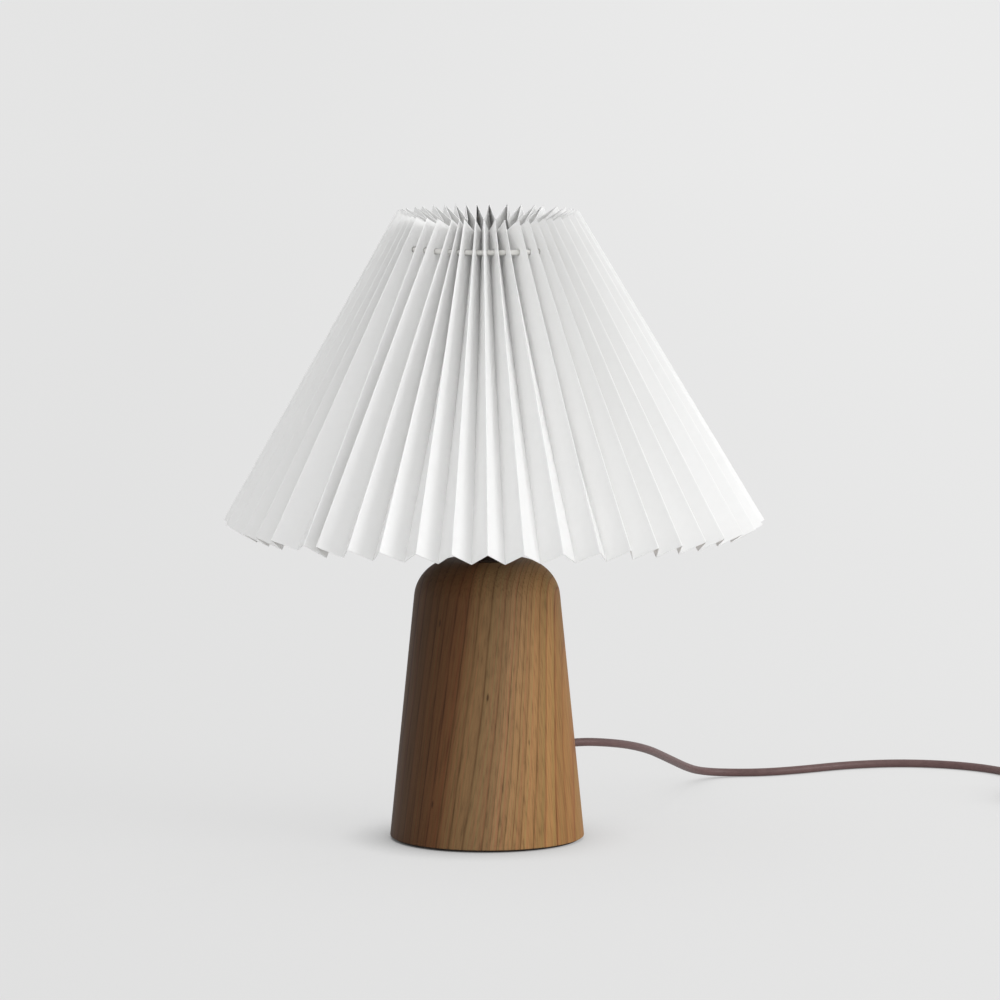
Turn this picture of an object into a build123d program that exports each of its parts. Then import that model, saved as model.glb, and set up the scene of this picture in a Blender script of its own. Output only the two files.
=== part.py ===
from build123d import *

import os
from math import atan2, cos, degrees, pi, radians, sin, sqrt, tan

# A table lamp in millimetres: a turned wood foot, a lampholder with its bulb, a wire
# carrier with a pleated cone shade, and a mains cord with a switch and a plug.
# The origin is on the table under the middle of the foot, +Z up, -Y towards the viewer.

# Clearances, and the overrun of every cut
overrun = 1.0
thread_gap = 0.05
seat_gap = 0.3
slip_gap = 0.15
pin_gap = 0.06

# Turned wood foot
felt_thickness = 1.5
felt_radius = 60.0
foot_radius = 63.1
neck_radius = 45.0
wood_height = 180.8
shoulder_radius = 25.5
foot_edge = 0.8
bore_radius = 5.3
cavity_radius = 25.0
cavity_height = 108.5

# Ballast disc in the underside
ballast_radius = 46.0
ballast_thickness = 12.0
ballast_hole_radius = 22.0
ballast_screw_radius = 2.0
ballast_screw_head_radius = 4.0
ballast_screw_length = 24.0
ballast_screw_count = 3
ballast_screw_circle = 34.0

# Threaded tube with its washers and nuts
tube_radius = 5.0
tube_bore_radius = 4.0
tube_below_roof = 14.0
tube_above_wood = 13.0
lower_washer_radius = 15.0
washer_thickness = 1.5
seat_washer_radius = 17.0
nut_across_flats = 14.0
lower_nut_height = 4.0
lock_nut_height = 3.5

# Mains cord, its cores, and the way out of the foot
cord_diameter = 5.4
core_radius = 0.9
core_spread = 2.6
exit_height = 56.0
exit_angle = 35.0
bush_radius = 4.2
bush_rim_radius = 5.4
bush_rim_thickness = 1.4
bush_length = 12.0
bush_proud = 0.2
lead_bend_radius = 28.0

# Cord grip on the lower end of the threaded tube
grip_radius = 8.0
grip_height = 16.0
grip_thread_depth = 8.0
grip_screw_radius = 1.5

# Lampholder cap
holder_collar_radius = 8.0
holder_collar_height = 6.2
holder_radius = 19.5
holder_wall = 1.6
cap_height = 22.7
cap_ledge_drop = 3.0
cap_ledge_width = 2.9
cap_floor_height = 9.7
lock_screw_radius = 1.5

# Lampholder shell with the thread for the shade ring
shell_height = 36.0
flange_radius = 24.0
flange_thickness = 2.5
flange_drop = 4.0
ring_thread_radius = 20.3
ring_thread_count = 9
ring_thread_pitch = 2.2

# Insert, screw sleeve and contacts inside the holder
insert_height = 9.0
sleeve_radius = 13.75
sleeve_wall = 0.5
sleeve_height = 26.0
contact_width = 5.0
contact_thickness = 0.5
contact_height = 5.7
contact_foot = 7.0
contact_tip = 2.2
post_radius = 2.2
post_height = 3.5
post_spacing = 18.0
terminal_screw_radius = 1.2
terminal_head_radius = 1.6
terminal_head_height = 1.4
terminal_screw_depth = 1.6

# Shade ring
shade_ring_radius = 27.0
shade_ring_height = 8.0
shade_ring_bore_radius = 20.6
ring_groove_count = 24
ring_groove_radius = 1.0

# Bulb
cap_crest_radius = 13.1
cap_root_radius = 12.3
cap_thread_pitch = 3.6
cap_thread_count = 5
cap_collar_height = 4.0
cap_wall_radius = 11.8
insulator_height = 4.5
insulator_lip = 1.5
pip_radius = 4.6
pip_height = 1.5
glass_radius = 30.0
glass_wall = 0.9
glass_neck_radius = 13.0
bulb_length = 108.0
glass_waist_angle = 40.0
driver_radius = 9.0
driver_height = 17.0
led_board_radius = 11.5
led_board_thickness = 1.5

# Wire carrier
hub_plate_radius = 33.0
hub_plate_thickness = 1.5
carrier_wire_radius = 1.5
carrier_ring_wire_radius = 1.75
carrier_arm_count = 3
carrier_arm_foot = 7.0
carrier_bend_radius = 6.0
carrier_drop = 32.2
weld_sink = 0.4

# Pleated shade: the outer folds run from shade_radius up to shade_top_radius
shade_radius = 175.0
shade_top_radius = 58.8
shade_low = 208.2
shade_high = 408.3
pleat_count = 48
panel_width = 19.0
fold_flat = 0.8
fold_root = 1.0
drawstring_radius = 1.6
drawstring_drop = 20.8
drawstring_depth_share = 0.45
punch_radius = 2.2

# In-line switch, lying on the table beside the coil
switch_x = 366.0
switch_y = 154.0
switch_length = 72.0
switch_width = 27.0
switch_nose_width = 11.0
switch_shoulder = 24.0
switch_low_height = 8.0
switch_top_height = 9.0
switch_wall = 2.0
switch_corner = 4.0
switch_edge = 1.5
rocker_length = 20.0
rocker_width = 12.0
rocker_tilt = 8.0
rocker_pin_radius = 1.0
rocker_pin_rise = 5.5
rocker_horn = 5.0
rocker_waist = 2.8
rocker_under = 1.5
window_gap = 1.2
ear_length = 5.0
ear_thickness = 2.5
ear_drop = 5.4
switch_screw_radius = 1.2
switch_screw_head_radius = 2.4
switch_screw_length = 12.0
switch_boss_radius = 3.2
switch_screw_x = 17.0
switch_screw_y = 7.5
strip_thickness = 0.6
strip_width = 3.2
strip_foot = 6.0
strip_gap = 16.0
strip_height = 8.2

# Coil of put-away cord: a spiral in on the table, a climb, and a spiral out on top
coil_radius = 36.5
coil_gap = 0.5
coil_half_turns_in = 5
coil_start = (366.0, 50.0)

# Plug, lying flat on the table
plug_x = 450.8
plug_y = 124.0
plug_width = 35.0
plug_rear_width = 20.0
plug_length = 36.0
plug_thickness = 14.0
plug_corner = 4.0
plug_edge = 2.5
relief_length = 24.0
relief_root_radius = 5.6
relief_tip_radius = 3.8
relief_groove_width = 1.2
relief_groove_depth = 0.8
relief_groove_count = 5
plug_pin_radius = 2.0
plug_pin_root_radius = 1.5
plug_pin_length = 19.0
plug_pin_spacing = 18.6
plug_pin_seat = 8.0
plug_pin_round = 1.6

# Routes of the free cord: chosen points, in order from the foot to the plug
lead_route = [
    (47.35, 33.15, 56.0),
    (60.5, 42.36, 56.0),
    (76.0, 55.5, 53.6),
    (92.5, 77.5, 48.6),
    (106.5, 108.0, 40.6),
    (117.0, 143.0, 30.6),
    (126.5, 179.0, 20.6),
    (134.5, 209.0, 12.4),
    (141.5, 227.0, 7.4),
    (152.5, 240.5, 4.0),
    (169.0, 246.2, 2.7),
    (188.5, 247.8, 2.7),
    (212.5, 258.5, 2.7),
    (243.0, 278.0, 2.7),
    (277.0, 288.0, 2.7),
    (309.0, 283.5, 2.7),
    (336.0, 268.5, 2.7),
    (355.0, 246.0, 2.7),
    (363.5, 224.0, 3.1),
    (366.0, 204.0, 8.0),
    (366.0, 190.0, 8.0),
]
link_route = [
    (366.0, 118.0, 8.0),
    (366.0, 104.0, 8.0),
    (367.2, 84.0, 3.0),
    (366.0, 66.0, 2.7),
    (366.0, 50.0, 2.7),
]
tail_route = [
    (444.9, 50.0, 8.6),
    (444.9, 62.0, 8.6),
    (447.2, 80.0, 2.7),
    (450.0, 97.0, 2.7),
    (450.8, 113.0, 7.0),
    (450.8, 124.0, 7.0),
]

# Levels and sizes worked out from the values above
cord_radius = cord_diameter / 2
wood_low = felt_thickness
wood_top = wood_low + wood_height
ballast_high = wood_low + ballast_thickness
cavity_roof = wood_low + cavity_height
nut_high = cavity_roof - washer_thickness
nut_low = nut_high - lower_nut_height
tube_low = cavity_roof - tube_below_roof
tube_high = wood_top + tube_above_wood
holder_low = wood_top + washer_thickness + lock_nut_height
cap_high = holder_low + cap_height
insert_low = cap_high - cap_ledge_drop
insert_high = insert_low + insert_height
flange_low = cap_high + flange_drop
flange_high = flange_low + flange_thickness
hub_high = flange_high + hub_plate_thickness
insert_radius = holder_radius - holder_wall - 2 * seat_gap
pip_low = insert_high + contact_height + seat_gap
cap_low = pip_low + pip_height + insulator_height
screw_high = cap_low + cap_thread_count * cap_thread_pitch
glass_low = screw_high + cap_collar_height
bulb_high = pip_low + bulb_length
glass_centre = bulb_high - glass_radius
lean = atan2(shade_radius - shade_top_radius, shade_high - shade_low)
half_pitch = 180 / pleat_count
drawstring_height = shade_high - drawstring_drop
carrier_ring_height = shade_high - carrier_drop
coil_pitch = cord_diameter + coil_gap
side_slope = (foot_radius - neck_radius) / wood_height


def side_radius(height):
    """Radius of the foot's straight side at a height."""
    return foot_radius - side_slope * (height - wood_low)


def pleat_depth(fold_radius):
    """Depth of a pleat along its end edge, from the width of its panels."""
    spread = 2 * (1 - cos(radians(half_pitch)))
    half_term = fold_radius * cos(lean) * spread / 2
    return half_term + sqrt(half_term**2 - spread * fold_radius**2 + panel_width**2)


low_depth = pleat_depth(shade_radius)
high_depth = pleat_depth(shade_top_radius)
inner_low = (shade_radius - low_depth * cos(lean), shade_low - low_depth * sin(lean))
inner_high = (shade_top_radius - high_depth * cos(lean), shade_high - high_depth * sin(lean))


def outer_fold(height):
    """Radius of the outer folds at a height."""
    return shade_radius - (height - shade_low) * tan(lean)


def inner_fold(height):
    """Radius of the inner folds at a height."""
    share = (height - inner_low[1]) / (inner_high[1] - inner_low[1])
    return inner_low[0] + share * (inner_high[0] - inner_low[0])


drawstring_ring = outer_fold(drawstring_height) + drawstring_depth_share * (
    inner_fold(drawstring_height) - outer_fold(drawstring_height)
)
carrier_ring_radius = inner_fold(carrier_ring_height) - (carrier_ring_wire_radius + seat_gap) / cos(lean)
out_direction = Vector(cos(radians(exit_angle)), sin(radians(exit_angle)), 0)
bush_face = side_radius(exit_height) + bush_proud


def across_exit(distance):
    """Plane square to the cord's way out, at a distance from the lamp's axis."""
    origin = out_direction * distance + Vector(0, 0, exit_height)
    return Plane(origin=origin, x_dir=(-out_direction.Y, out_direction.X, 0), z_dir=out_direction)


def corner_radii(points, share=0.45):
    """One radius for each corner of a route: as large as its two runs allow."""
    radii = []
    for before, corner, after in zip(points, points[1:], points[2:]):
        run_in = Vector(*corner) - Vector(*before)
        run_out = Vector(*after) - Vector(*corner)
        turn = radians(run_in.get_angle(run_out))
        radii.append(share * min(run_in.length, run_out.length) / tan(turn / 2))
    return radii


def route_tube(points, name):
    """A cord's tube along straight runs joined by tangent arcs, with its label."""
    radii = corner_radii(points)
    first_run = Vector(*points[1]) - Vector(*points[0])
    with BuildPart() as tube:
        with BuildLine() as path:
            FilletPolyline(*points, radius=radii)
        with BuildSketch(Plane(origin=points[0], z_dir=first_run)):
            Circle(cord_radius)
        sweep(path=path.line)
    length = path.wire().length
    ratio = tube.part.volume / (pi * cord_radius**2 * length)
    print(name, "length", round(length, 1), "least radius", round(min(radii), 1))
    print(name, "volume ratio", round(ratio, 4), "radii", [round(radius) for radius in radii])
    return tube, length


# Foot: turned profile, recess for the ballast, cavity, bore and the cord's way out
with BuildPart() as wood_base:
    with BuildSketch(Plane.XZ) as profile:
        with BuildLine():
            Polyline(
                (0, wood_low),
                (foot_radius, wood_low),
                (neck_radius, wood_top),
                (0, wood_top),
                close=True,
            )
        make_face()
        outer_corners = profile.vertices().filter_by(lambda v: v.X > neck_radius / 2)
        fillet(outer_corners.sort_by(Axis.Y)[-1], shoulder_radius)
        chamfer(outer_corners.sort_by(Axis.Y)[0], foot_edge)
    revolve(axis=Axis.Z)
    with BuildSketch(Plane.XY.offset(wood_low)):
        Circle(ballast_radius + seat_gap)
    extrude(amount=ballast_thickness, mode=Mode.SUBTRACT)
    with BuildSketch(Plane.XY.offset(ballast_high)):
        Circle(cavity_radius)
    extrude(amount=cavity_roof - ballast_high, mode=Mode.SUBTRACT)
    with BuildSketch(Plane.XY.offset(cavity_roof)):
        Circle(bore_radius)
    extrude(amount=wood_top + overrun - cavity_roof, mode=Mode.SUBTRACT)
    with BuildSketch(across_exit(cavity_radius / 2)):
        Circle(bush_radius + slip_gap)
    extrude(amount=foot_radius, mode=Mode.SUBTRACT)
    with BuildSketch(across_exit(bush_face - bush_rim_thickness)):
        Circle(bush_rim_radius + slip_gap)
    extrude(amount=foot_radius / 2, mode=Mode.SUBTRACT)
    with BuildSketch(Plane.XY.offset(ballast_high)):
        with PolarLocations(ballast_screw_circle, ballast_screw_count, start_angle=90):
            Circle(ballast_screw_radius + thread_gap)
    extrude(amount=ballast_screw_length - ballast_thickness + overrun, mode=Mode.SUBTRACT)

with BuildPart() as felt_pad:
    with BuildSketch():
        Circle(felt_radius)
    extrude(amount=felt_thickness)

# Ballast disc with countersunk holes, screwed up into the wood
with BuildPart() as ballast_disc:
    with BuildSketch(Plane.XY.offset(wood_low)):
        Circle(ballast_radius)
        Circle(ballast_hole_radius, mode=Mode.SUBTRACT)
    extrude(amount=ballast_thickness)
    with Locations(Plane(origin=(0, 0, wood_low), x_dir=(1, 0, 0), z_dir=(0, 0, -1))):
        with PolarLocations(ballast_screw_circle, ballast_screw_count, start_angle=-90):
            CounterSinkHole(ballast_screw_radius + slip_gap, ballast_screw_head_radius + slip_gap)

with BuildPart() as ballast_screws:
    with BuildSketch(Plane.XZ):
        with BuildLine():
            Polyline(
                (0, wood_low + seat_gap),
                (ballast_screw_head_radius - seat_gap, wood_low + seat_gap),
                (ballast_screw_radius, wood_low + ballast_screw_head_radius - ballast_screw_radius),
                (ballast_screw_radius, wood_low + ballast_screw_length - ballast_screw_radius),
                (0, wood_low + ballast_screw_length),
                close=True,
            )
        make_face()
    screw = revolve(axis=Axis.Z, mode=Mode.PRIVATE)
    with PolarLocations(ballast_screw_circle, ballast_screw_count, start_angle=90):
        add(screw)

# Threaded tube and the washers and nuts that clamp it in the foot
with BuildPart() as threaded_tube:
    with BuildSketch(Plane.XY.offset(tube_low)):
        Circle(tube_radius)
        Circle(tube_bore_radius, mode=Mode.SUBTRACT)
    extrude(amount=tube_high - tube_low)


def washer(low, radius):
    """A plain washer around the threaded tube."""
    with BuildPart() as plate:
        with BuildSketch(Plane.XY.offset(low)):
            Circle(radius)
            Circle(tube_radius + slip_gap, mode=Mode.SUBTRACT)
        extrude(amount=washer_thickness)
        rim = plate.edges().filter_by(GeomType.CIRCLE).sort_by(SortBy.RADIUS)[-2:]
        chamfer(rim, washer_thickness / 5)
    return plate


def hexagon_nut(low, height):
    """A hexagon nut on the threaded tube."""
    with BuildPart() as nut:
        with BuildSketch(Plane.XY.offset(low)):
            RegularPolygon(nut_across_flats / 2, 6, major_radius=False)
            Circle(tube_radius + thread_gap, mode=Mode.SUBTRACT)
        extrude(amount=height)
    return nut


lower_washer = washer(nut_high, lower_washer_radius)
lower_nut = hexagon_nut(nut_low, lower_nut_height)
seat_washer = washer(wood_top, seat_washer_radius)
lock_nut = hexagon_nut(wood_top + washer_thickness, lock_nut_height)

# Bush in the side of the foot, flush but for its rim
with BuildPart() as cord_bush:
    with BuildSketch(across_exit(bush_face - bush_length)):
        Circle(bush_radius)
    extrude(amount=bush_length)
    with BuildSketch(across_exit(bush_face - bush_rim_thickness)):
        Circle(bush_rim_radius)
    extrude(amount=bush_rim_thickness)
    with BuildSketch(across_exit(bush_face - bush_length)):
        Circle(cord_radius + slip_gap)
    extrude(amount=bush_length, mode=Mode.SUBTRACT)
    circles = cord_bush.edges().filter_by(GeomType.CIRCLE)
    outmost = circles.group_by(lambda edge: edge.center().dot(out_direction))[-1]
    fillet(outmost.sort_by(SortBy.RADIUS)[-1], bush_rim_thickness / 3)

# Grip that holds the lead under the threaded tube, and its screw
grip_high = tube_low + grip_thread_depth
grip_low = grip_high - grip_height
grip_screw_height = grip_low + (tube_low - grip_low) / 2
with BuildPart() as cord_grip:
    with BuildSketch(Plane.XY.offset(grip_low)):
        Circle(grip_radius)
    extrude(amount=grip_height)
    with BuildSketch(Plane.XY.offset(grip_low)):
        Circle(cord_radius + slip_gap)
    extrude(amount=grip_height, mode=Mode.SUBTRACT)
    with BuildSketch(Plane.XY.offset(tube_low)):
        Circle(tube_radius + thread_gap)
    extrude(amount=grip_thread_depth, mode=Mode.SUBTRACT)
    with BuildSketch(Plane.XZ.offset(cord_radius)):
        with Locations((0, grip_screw_height)):
            Circle(grip_screw_radius + thread_gap)
    extrude(amount=grip_radius, mode=Mode.SUBTRACT)

with BuildPart() as grip_screw:
    with BuildSketch(Plane.XZ.offset(cord_radius + slip_gap)):
        with Locations((0, grip_screw_height)):
            Circle(grip_screw_radius)
    extrude(amount=grip_radius - cord_radius)

# Lead inside the foot: in through the bush, up through the grip and the tube
sheath_end = tube_high + cord_radius / 2
with BuildPart() as inner_lead:
    with BuildLine() as path:
        FilletPolyline(
            out_direction * bush_face + Vector(0, 0, exit_height),
            Vector(0, 0, exit_height),
            Vector(0, 0, sheath_end),
            radius=lead_bend_radius,
        )
    with BuildSketch(across_exit(bush_face)):
        Circle(cord_radius)
    sweep(path=path.line)

# Lampholder cap: collar on the tube, bell, and the ledge that carries the insert
wall_inner = holder_radius - holder_wall
with BuildPart() as holder_cap:
    with BuildSketch(Plane.XZ):
        with BuildLine():
            Polyline(
                (tube_radius + thread_gap, holder_low),
                (holder_collar_radius, holder_low),
                (holder_collar_radius, holder_low + holder_collar_height),
                (holder_radius, cap_high - cap_ledge_drop - holder_wall * 2),
                (holder_radius, cap_high),
                (wall_inner, cap_high),
                (wall_inner, insert_low),
                (wall_inner - cap_ledge_width, insert_low),
                (wall_inner - cap_ledge_width, insert_low - holder_wall * 2),
                (holder_collar_radius + holder_wall / 2, holder_low + cap_floor_height),
                (tube_radius + thread_gap, holder_low + cap_floor_height),
                close=True,
            )
        make_face()
    revolve(axis=Axis.Z)
    with BuildSketch(Plane.XZ.offset(tube_radius)):
        with Locations((0, holder_low + holder_collar_height / 2)):
            Circle(lock_screw_radius + thread_gap)
    extrude(amount=holder_collar_radius, mode=Mode.SUBTRACT)
    widest = holder_cap.edges().filter_by(GeomType.CIRCLE).group_by(SortBy.RADIUS)[-1]
    fillet(widest.sort_by(Axis.Z)[0], holder_wall)

with BuildPart() as holder_lock_screw:
    with BuildSketch(Plane.XZ.offset(tube_radius + thread_gap)):
        with Locations((0, holder_low + holder_collar_height / 2)):
            Circle(lock_screw_radius)
    extrude(amount=holder_collar_radius - tube_radius)

# Shell: plain skirt, seat flange for the carrier and thread ridges for the shade ring
with BuildPart() as holder_shell:
    with BuildSketch(Plane.XY.offset(cap_high)):
        Circle(holder_radius)
    extrude(amount=shell_height)
    with BuildSketch(Plane.XY.offset(flange_low)):
        Circle(flange_radius)
    extrude(amount=flange_thickness)
    with BuildSketch(Plane.XZ):
        with BuildLine():
            Polyline(
                (holder_radius - holder_wall / 2, -ring_thread_pitch / 2),
                (ring_thread_radius, 0),
                (holder_radius - holder_wall / 2, ring_thread_pitch / 2),
                close=True,
            )
        make_face()
    thread_ridge = revolve(axis=Axis.Z, mode=Mode.PRIVATE)
    first_ridge = hub_high + ring_thread_pitch
    with Locations(*[(0, 0, first_ridge + turn * ring_thread_pitch) for turn in range(ring_thread_count)]):
        add(thread_ridge)
    with BuildSketch(Plane.XY.offset(cap_high)):
        Circle(wall_inner)
    extrude(amount=shell_height, mode=Mode.SUBTRACT)

# Ceramic insert on the cap's ledge, with holes under the terminal posts
with BuildPart() as holder_insert:
    with BuildSketch(Plane.XY.offset(insert_low)):
        Circle(insert_radius)
    extrude(amount=insert_height)
    chamfer(holder_insert.edges().filter_by(GeomType.CIRCLE).sort_by(Axis.Z)[-1], seat_gap)

with BuildPart() as screw_sleeve:
    with BuildSketch(Plane.XY.offset(insert_high)):
        Circle(sleeve_radius + sleeve_wall)
        Circle(sleeve_radius, mode=Mode.SUBTRACT)
    extrude(amount=sleeve_height)

# Spring tongue that reaches up to the bulb's centre contact
with BuildPart() as centre_contact:
    with BuildSketch(Plane.XZ.offset(-contact_width / 2)):
        with BuildLine():
            Polyline(
                (contact_foot, insert_high),
                (-contact_foot, insert_high),
                (-contact_foot, insert_high + contact_thickness),
                (contact_foot - 2 * contact_thickness, insert_high + contact_thickness),
                (contact_tip - contact_thickness, insert_high + contact_height - contact_thickness),
                (-contact_tip, insert_high + contact_height - contact_thickness),
                (-contact_tip, insert_high + contact_height),
                (contact_tip, insert_high + contact_height),
                (contact_foot, insert_high + contact_thickness),
                close=True,
            )
        make_face()
    extrude(amount=contact_width)

# Terminal posts under the insert, the cores that reach them, and their screws
post_low = insert_low - post_height
with BuildPart() as terminal_posts:
    with BuildSketch(Plane.XY.offset(post_low)):
        with GridLocations(post_spacing, 0, 2, 1):
            Circle(post_radius)
    extrude(amount=post_height)
    with BuildSketch(Plane.XZ.offset(post_radius - terminal_screw_depth)):
        with Locations((0, post_low + post_height / 2)):
            with GridLocations(post_spacing, 0, 2, 1):
                Circle(terminal_screw_radius + thread_gap)
    extrude(amount=post_radius, mode=Mode.SUBTRACT)

with BuildPart() as terminal_screws:
    with BuildSketch(Plane.XZ.offset(post_radius - terminal_screw_depth)):
        with Locations((0, post_low + post_height / 2)):
            with GridLocations(post_spacing, 0, 2, 1):
                Circle(terminal_screw_radius)
    extrude(amount=terminal_screw_depth)
    with BuildSketch(Plane.XZ.offset(post_radius)):
        with Locations((0, post_low + post_height / 2)):
            with GridLocations(post_spacing, 0, 2, 1):
                Circle(terminal_head_radius)
    extrude(amount=terminal_head_height)


def core_wire(side):
    """One insulated core from the end of the sheath to its post; side is 1 or -1."""
    start_x = side * core_spread / 2
    post_x = side * post_spacing / 2
    rise = (post_low - sheath_end) / 3
    with BuildPart() as wire:
        with BuildLine() as path:
            FilletPolyline(
                (start_x, 0, sheath_end),
                (start_x, 0, sheath_end + rise),
                (post_x, 0, post_low - rise),
                (post_x, 0, post_low),
                radius=core_radius * 1.5,
            )
        with BuildSketch(Plane(origin=(start_x, 0, sheath_end))):
            Circle(core_radius)
        sweep(path=path.line)
    return wire


live_wire = core_wire(1)
neutral_wire = core_wire(-1)

# Shade ring with grip grooves around its rim
with BuildPart() as shade_ring:
    with BuildSketch(Plane.XY.offset(hub_high)):
        Circle(shade_ring_radius)
        Circle(shade_ring_bore_radius, mode=Mode.SUBTRACT)
        with PolarLocations(shade_ring_radius, ring_groove_count):
            Circle(ring_groove_radius, mode=Mode.SUBTRACT)
    extrude(amount=shade_ring_height)

# Bulb: contact, insulator, rolled screw cap, driver, light board and hollow glass
with BuildPart() as bulb_contact:
    with BuildSketch(Plane.XZ):
        with BuildLine():
            Polyline((0, pip_low), (0, pip_low + pip_height), (pip_radius, pip_low + pip_height))
            ThreePointArc(
                (0, pip_low),
                (0.6 * pip_radius, pip_low + 0.25 * pip_height),
                (pip_radius, pip_low + pip_height),
            )
        make_face()
    revolve(axis=Axis.Z)

with BuildPart() as bulb_insulator:
    with BuildSketch(Plane.XZ):
        with BuildLine():
            Polyline(
                (0, pip_low + pip_height),
                (pip_radius, pip_low + pip_height),
                (cap_wall_radius - insulator_lip, cap_low),
                (cap_wall_radius - thread_gap, cap_low),
                (cap_wall_radius - thread_gap, cap_low + insulator_lip),
                (0, cap_low + insulator_lip),
                close=True,
            )
        make_face()
    revolve(axis=Axis.Z)

with BuildPart() as bulb_cap:
    with BuildSketch(Plane.XZ):
        with BuildLine():
            for turn in range(cap_thread_count):
                turn_low = cap_low + turn * cap_thread_pitch
                ThreePointArc(
                    (cap_root_radius, turn_low),
                    (cap_crest_radius, turn_low + cap_thread_pitch / 2),
                    (cap_root_radius, turn_low + cap_thread_pitch),
                )
            Polyline(
                (cap_root_radius, screw_high),
                (glass_neck_radius, screw_high + cap_collar_height / 4),
                (glass_neck_radius, glass_low),
                (cap_wall_radius, glass_low),
                (cap_wall_radius, cap_low),
                (cap_root_radius, cap_low),
            )
        make_face()
    revolve(axis=Axis.Z)

with BuildPart() as bulb_driver:
    with BuildSketch(Plane.XY.offset(cap_low + insulator_lip)):
        Circle(driver_radius)
    extrude(amount=driver_height)

with BuildPart() as bulb_light_board:
    with BuildSketch(Plane.XY.offset(cap_low + insulator_lip + driver_height)):
        Circle(led_board_radius)
    extrude(amount=led_board_thickness)


def glass_solid(inset):
    """The bulb's pear shape, smaller all round by inset, down past its neck."""
    ball = glass_radius - inset
    waist = radians(glass_waist_angle)
    waist_point = (ball * cos(waist), glass_centre - ball * sin(waist))
    neck_low = glass_low - (overrun if inset else 0)
    neck_point = (glass_neck_radius - inset, neck_low)
    with BuildPart() as pear:
        with BuildSketch(Plane.XZ):
            with BuildLine():
                CenterArc((0, glass_centre), ball, 90, -90 - glass_waist_angle)
                Spline(waist_point, neck_point, tangents=[(-sin(waist), -cos(waist)), (0, -1)])
                Polyline(neck_point, (0, neck_low), (0, glass_centre + ball))
            make_face()
        revolve(axis=Axis.Z)
    return pear.part


glass_outside = glass_solid(0)
glass_inside = glass_solid(glass_wall)
with BuildPart() as bulb_glass:
    add(glass_outside)
    add(glass_inside, mode=Mode.SUBTRACT)

# Wire carrier: hub plate under the shade ring, arms and the ring that the shade rests on
arm_base = hub_high + carrier_wire_radius - weld_sink
arm_start = hub_plate_radius - carrier_wire_radius * 3
with BuildPart() as shade_carrier:
    with BuildSketch(Plane.XY.offset(flange_high)):
        Circle(hub_plate_radius)
        Circle(shade_ring_bore_radius + slip_gap, mode=Mode.SUBTRACT)
    extrude(amount=hub_plate_thickness)
    with BuildLine(Plane.XZ) as path:
        FilletPolyline(
            (arm_start, arm_base),
            (arm_start + carrier_arm_foot, arm_base),
            (carrier_ring_radius, carrier_ring_height),
            radius=carrier_bend_radius,
        )
    with BuildSketch(Plane(origin=(arm_start, 0, arm_base), z_dir=(1, 0, 0))):
        Circle(carrier_wire_radius)
    arm = sweep(path=path.line, mode=Mode.PRIVATE)
    with PolarLocations(0, carrier_arm_count, start_angle=90):
        add(arm)
    with BuildSketch(Plane.XZ):
        with Locations((carrier_ring_radius, carrier_ring_height)):
            Circle(carrier_ring_wire_radius)
    revolve(axis=Axis.Z)


def fold_outline(height, outward):
    """Corners of the folded sheet's outline at a height, on its outer or inner face."""
    outer, inner = outer_fold(height), inner_fold(height)
    corners = []
    for pleat in range(pleat_count):
        ridge = 2 * half_pitch * pleat
        valley = ridge + half_pitch
        if outward:
            spread = degrees(fold_flat / 2 / outer)
            corners += [(outer, ridge - spread), (outer, ridge + spread), (inner + fold_root, valley)]
        else:
            spread = degrees(fold_flat / 2 / inner)
            corners += [(outer - fold_root, ridge), (inner, valley - spread), (inner, valley + spread)]
    return [(radius * cos(radians(turn)), radius * sin(radians(turn))) for radius, turn in corners]


def fold_block(low, high, outward):
    """Solid inside one face of the folded sheet, between two heights."""
    with BuildPart() as block:
        for height in (low, high):
            with BuildSketch(Plane.XY.offset(height)):
                with BuildLine():
                    Polyline(*fold_outline(height, outward), close=True)
                make_face()
        loft(ruled=True)
    return block.part


# Pleated shade: folded sheet, cut square to its folds at both ends and punched
block_low = inner_low[1] - 2 * overrun
block_high = shade_high + 2 * overrun
fold_outside = fold_block(block_low, block_high, True)
fold_inside = fold_block(block_low, block_high, False)
with BuildPart() as shade_pleats:
    add(fold_outside)
    add(fold_inside, mode=Mode.SUBTRACT)
    with BuildSketch(Plane.XZ):
        with BuildLine():
            Polyline(
                (shade_radius + overrun, shade_low + overrun * tan(lean)),
                (shade_top_radius + overrun, shade_high + overrun * tan(lean)),
                (inner_high[0] - 2 * overrun, inner_high[1] - 2 * overrun * tan(lean)),
                (inner_low[0] - 2 * overrun, inner_low[1] - 2 * overrun * tan(lean)),
                close=True,
            )
        make_face()
    revolve(axis=Axis.Z, mode=Mode.INTERSECT)
    with BuildSketch(Plane.XZ):
        with Locations((drawstring_ring, drawstring_height)):
            Circle(punch_radius)
    revolve(axis=Axis.Z, mode=Mode.SUBTRACT)

with BuildPart() as shade_drawstring:
    with BuildSketch(Plane.XZ):
        with Locations((drawstring_ring, drawstring_height)):
            Circle(drawstring_radius)
    revolve(axis=Axis.Z)

# In-line switch: its own plane has x along the cord, towards the lamp
switch_high = switch_low_height + switch_top_height
pin_height = switch_low_height + rocker_pin_rise


def switch_plane(height):
    """Plane of the switch at a height, x along the cord."""
    return Plane(origin=(switch_x, switch_y, height), x_dir=(0, 1, 0), z_dir=(0, 0, 1))


def switch_side(distance):
    """Upright plane along the cord, at a distance across the switch."""
    return Plane(origin=(switch_x + distance, switch_y, 0), x_dir=(0, 1, 0), z_dir=(1, 0, 0))


def switch_end(distance):
    """Upright plane across the cord, at a distance along the switch."""
    return Plane(origin=(switch_x, switch_y + distance, 0), x_dir=(1, 0, 0), z_dir=(0, -1, 0))


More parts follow.
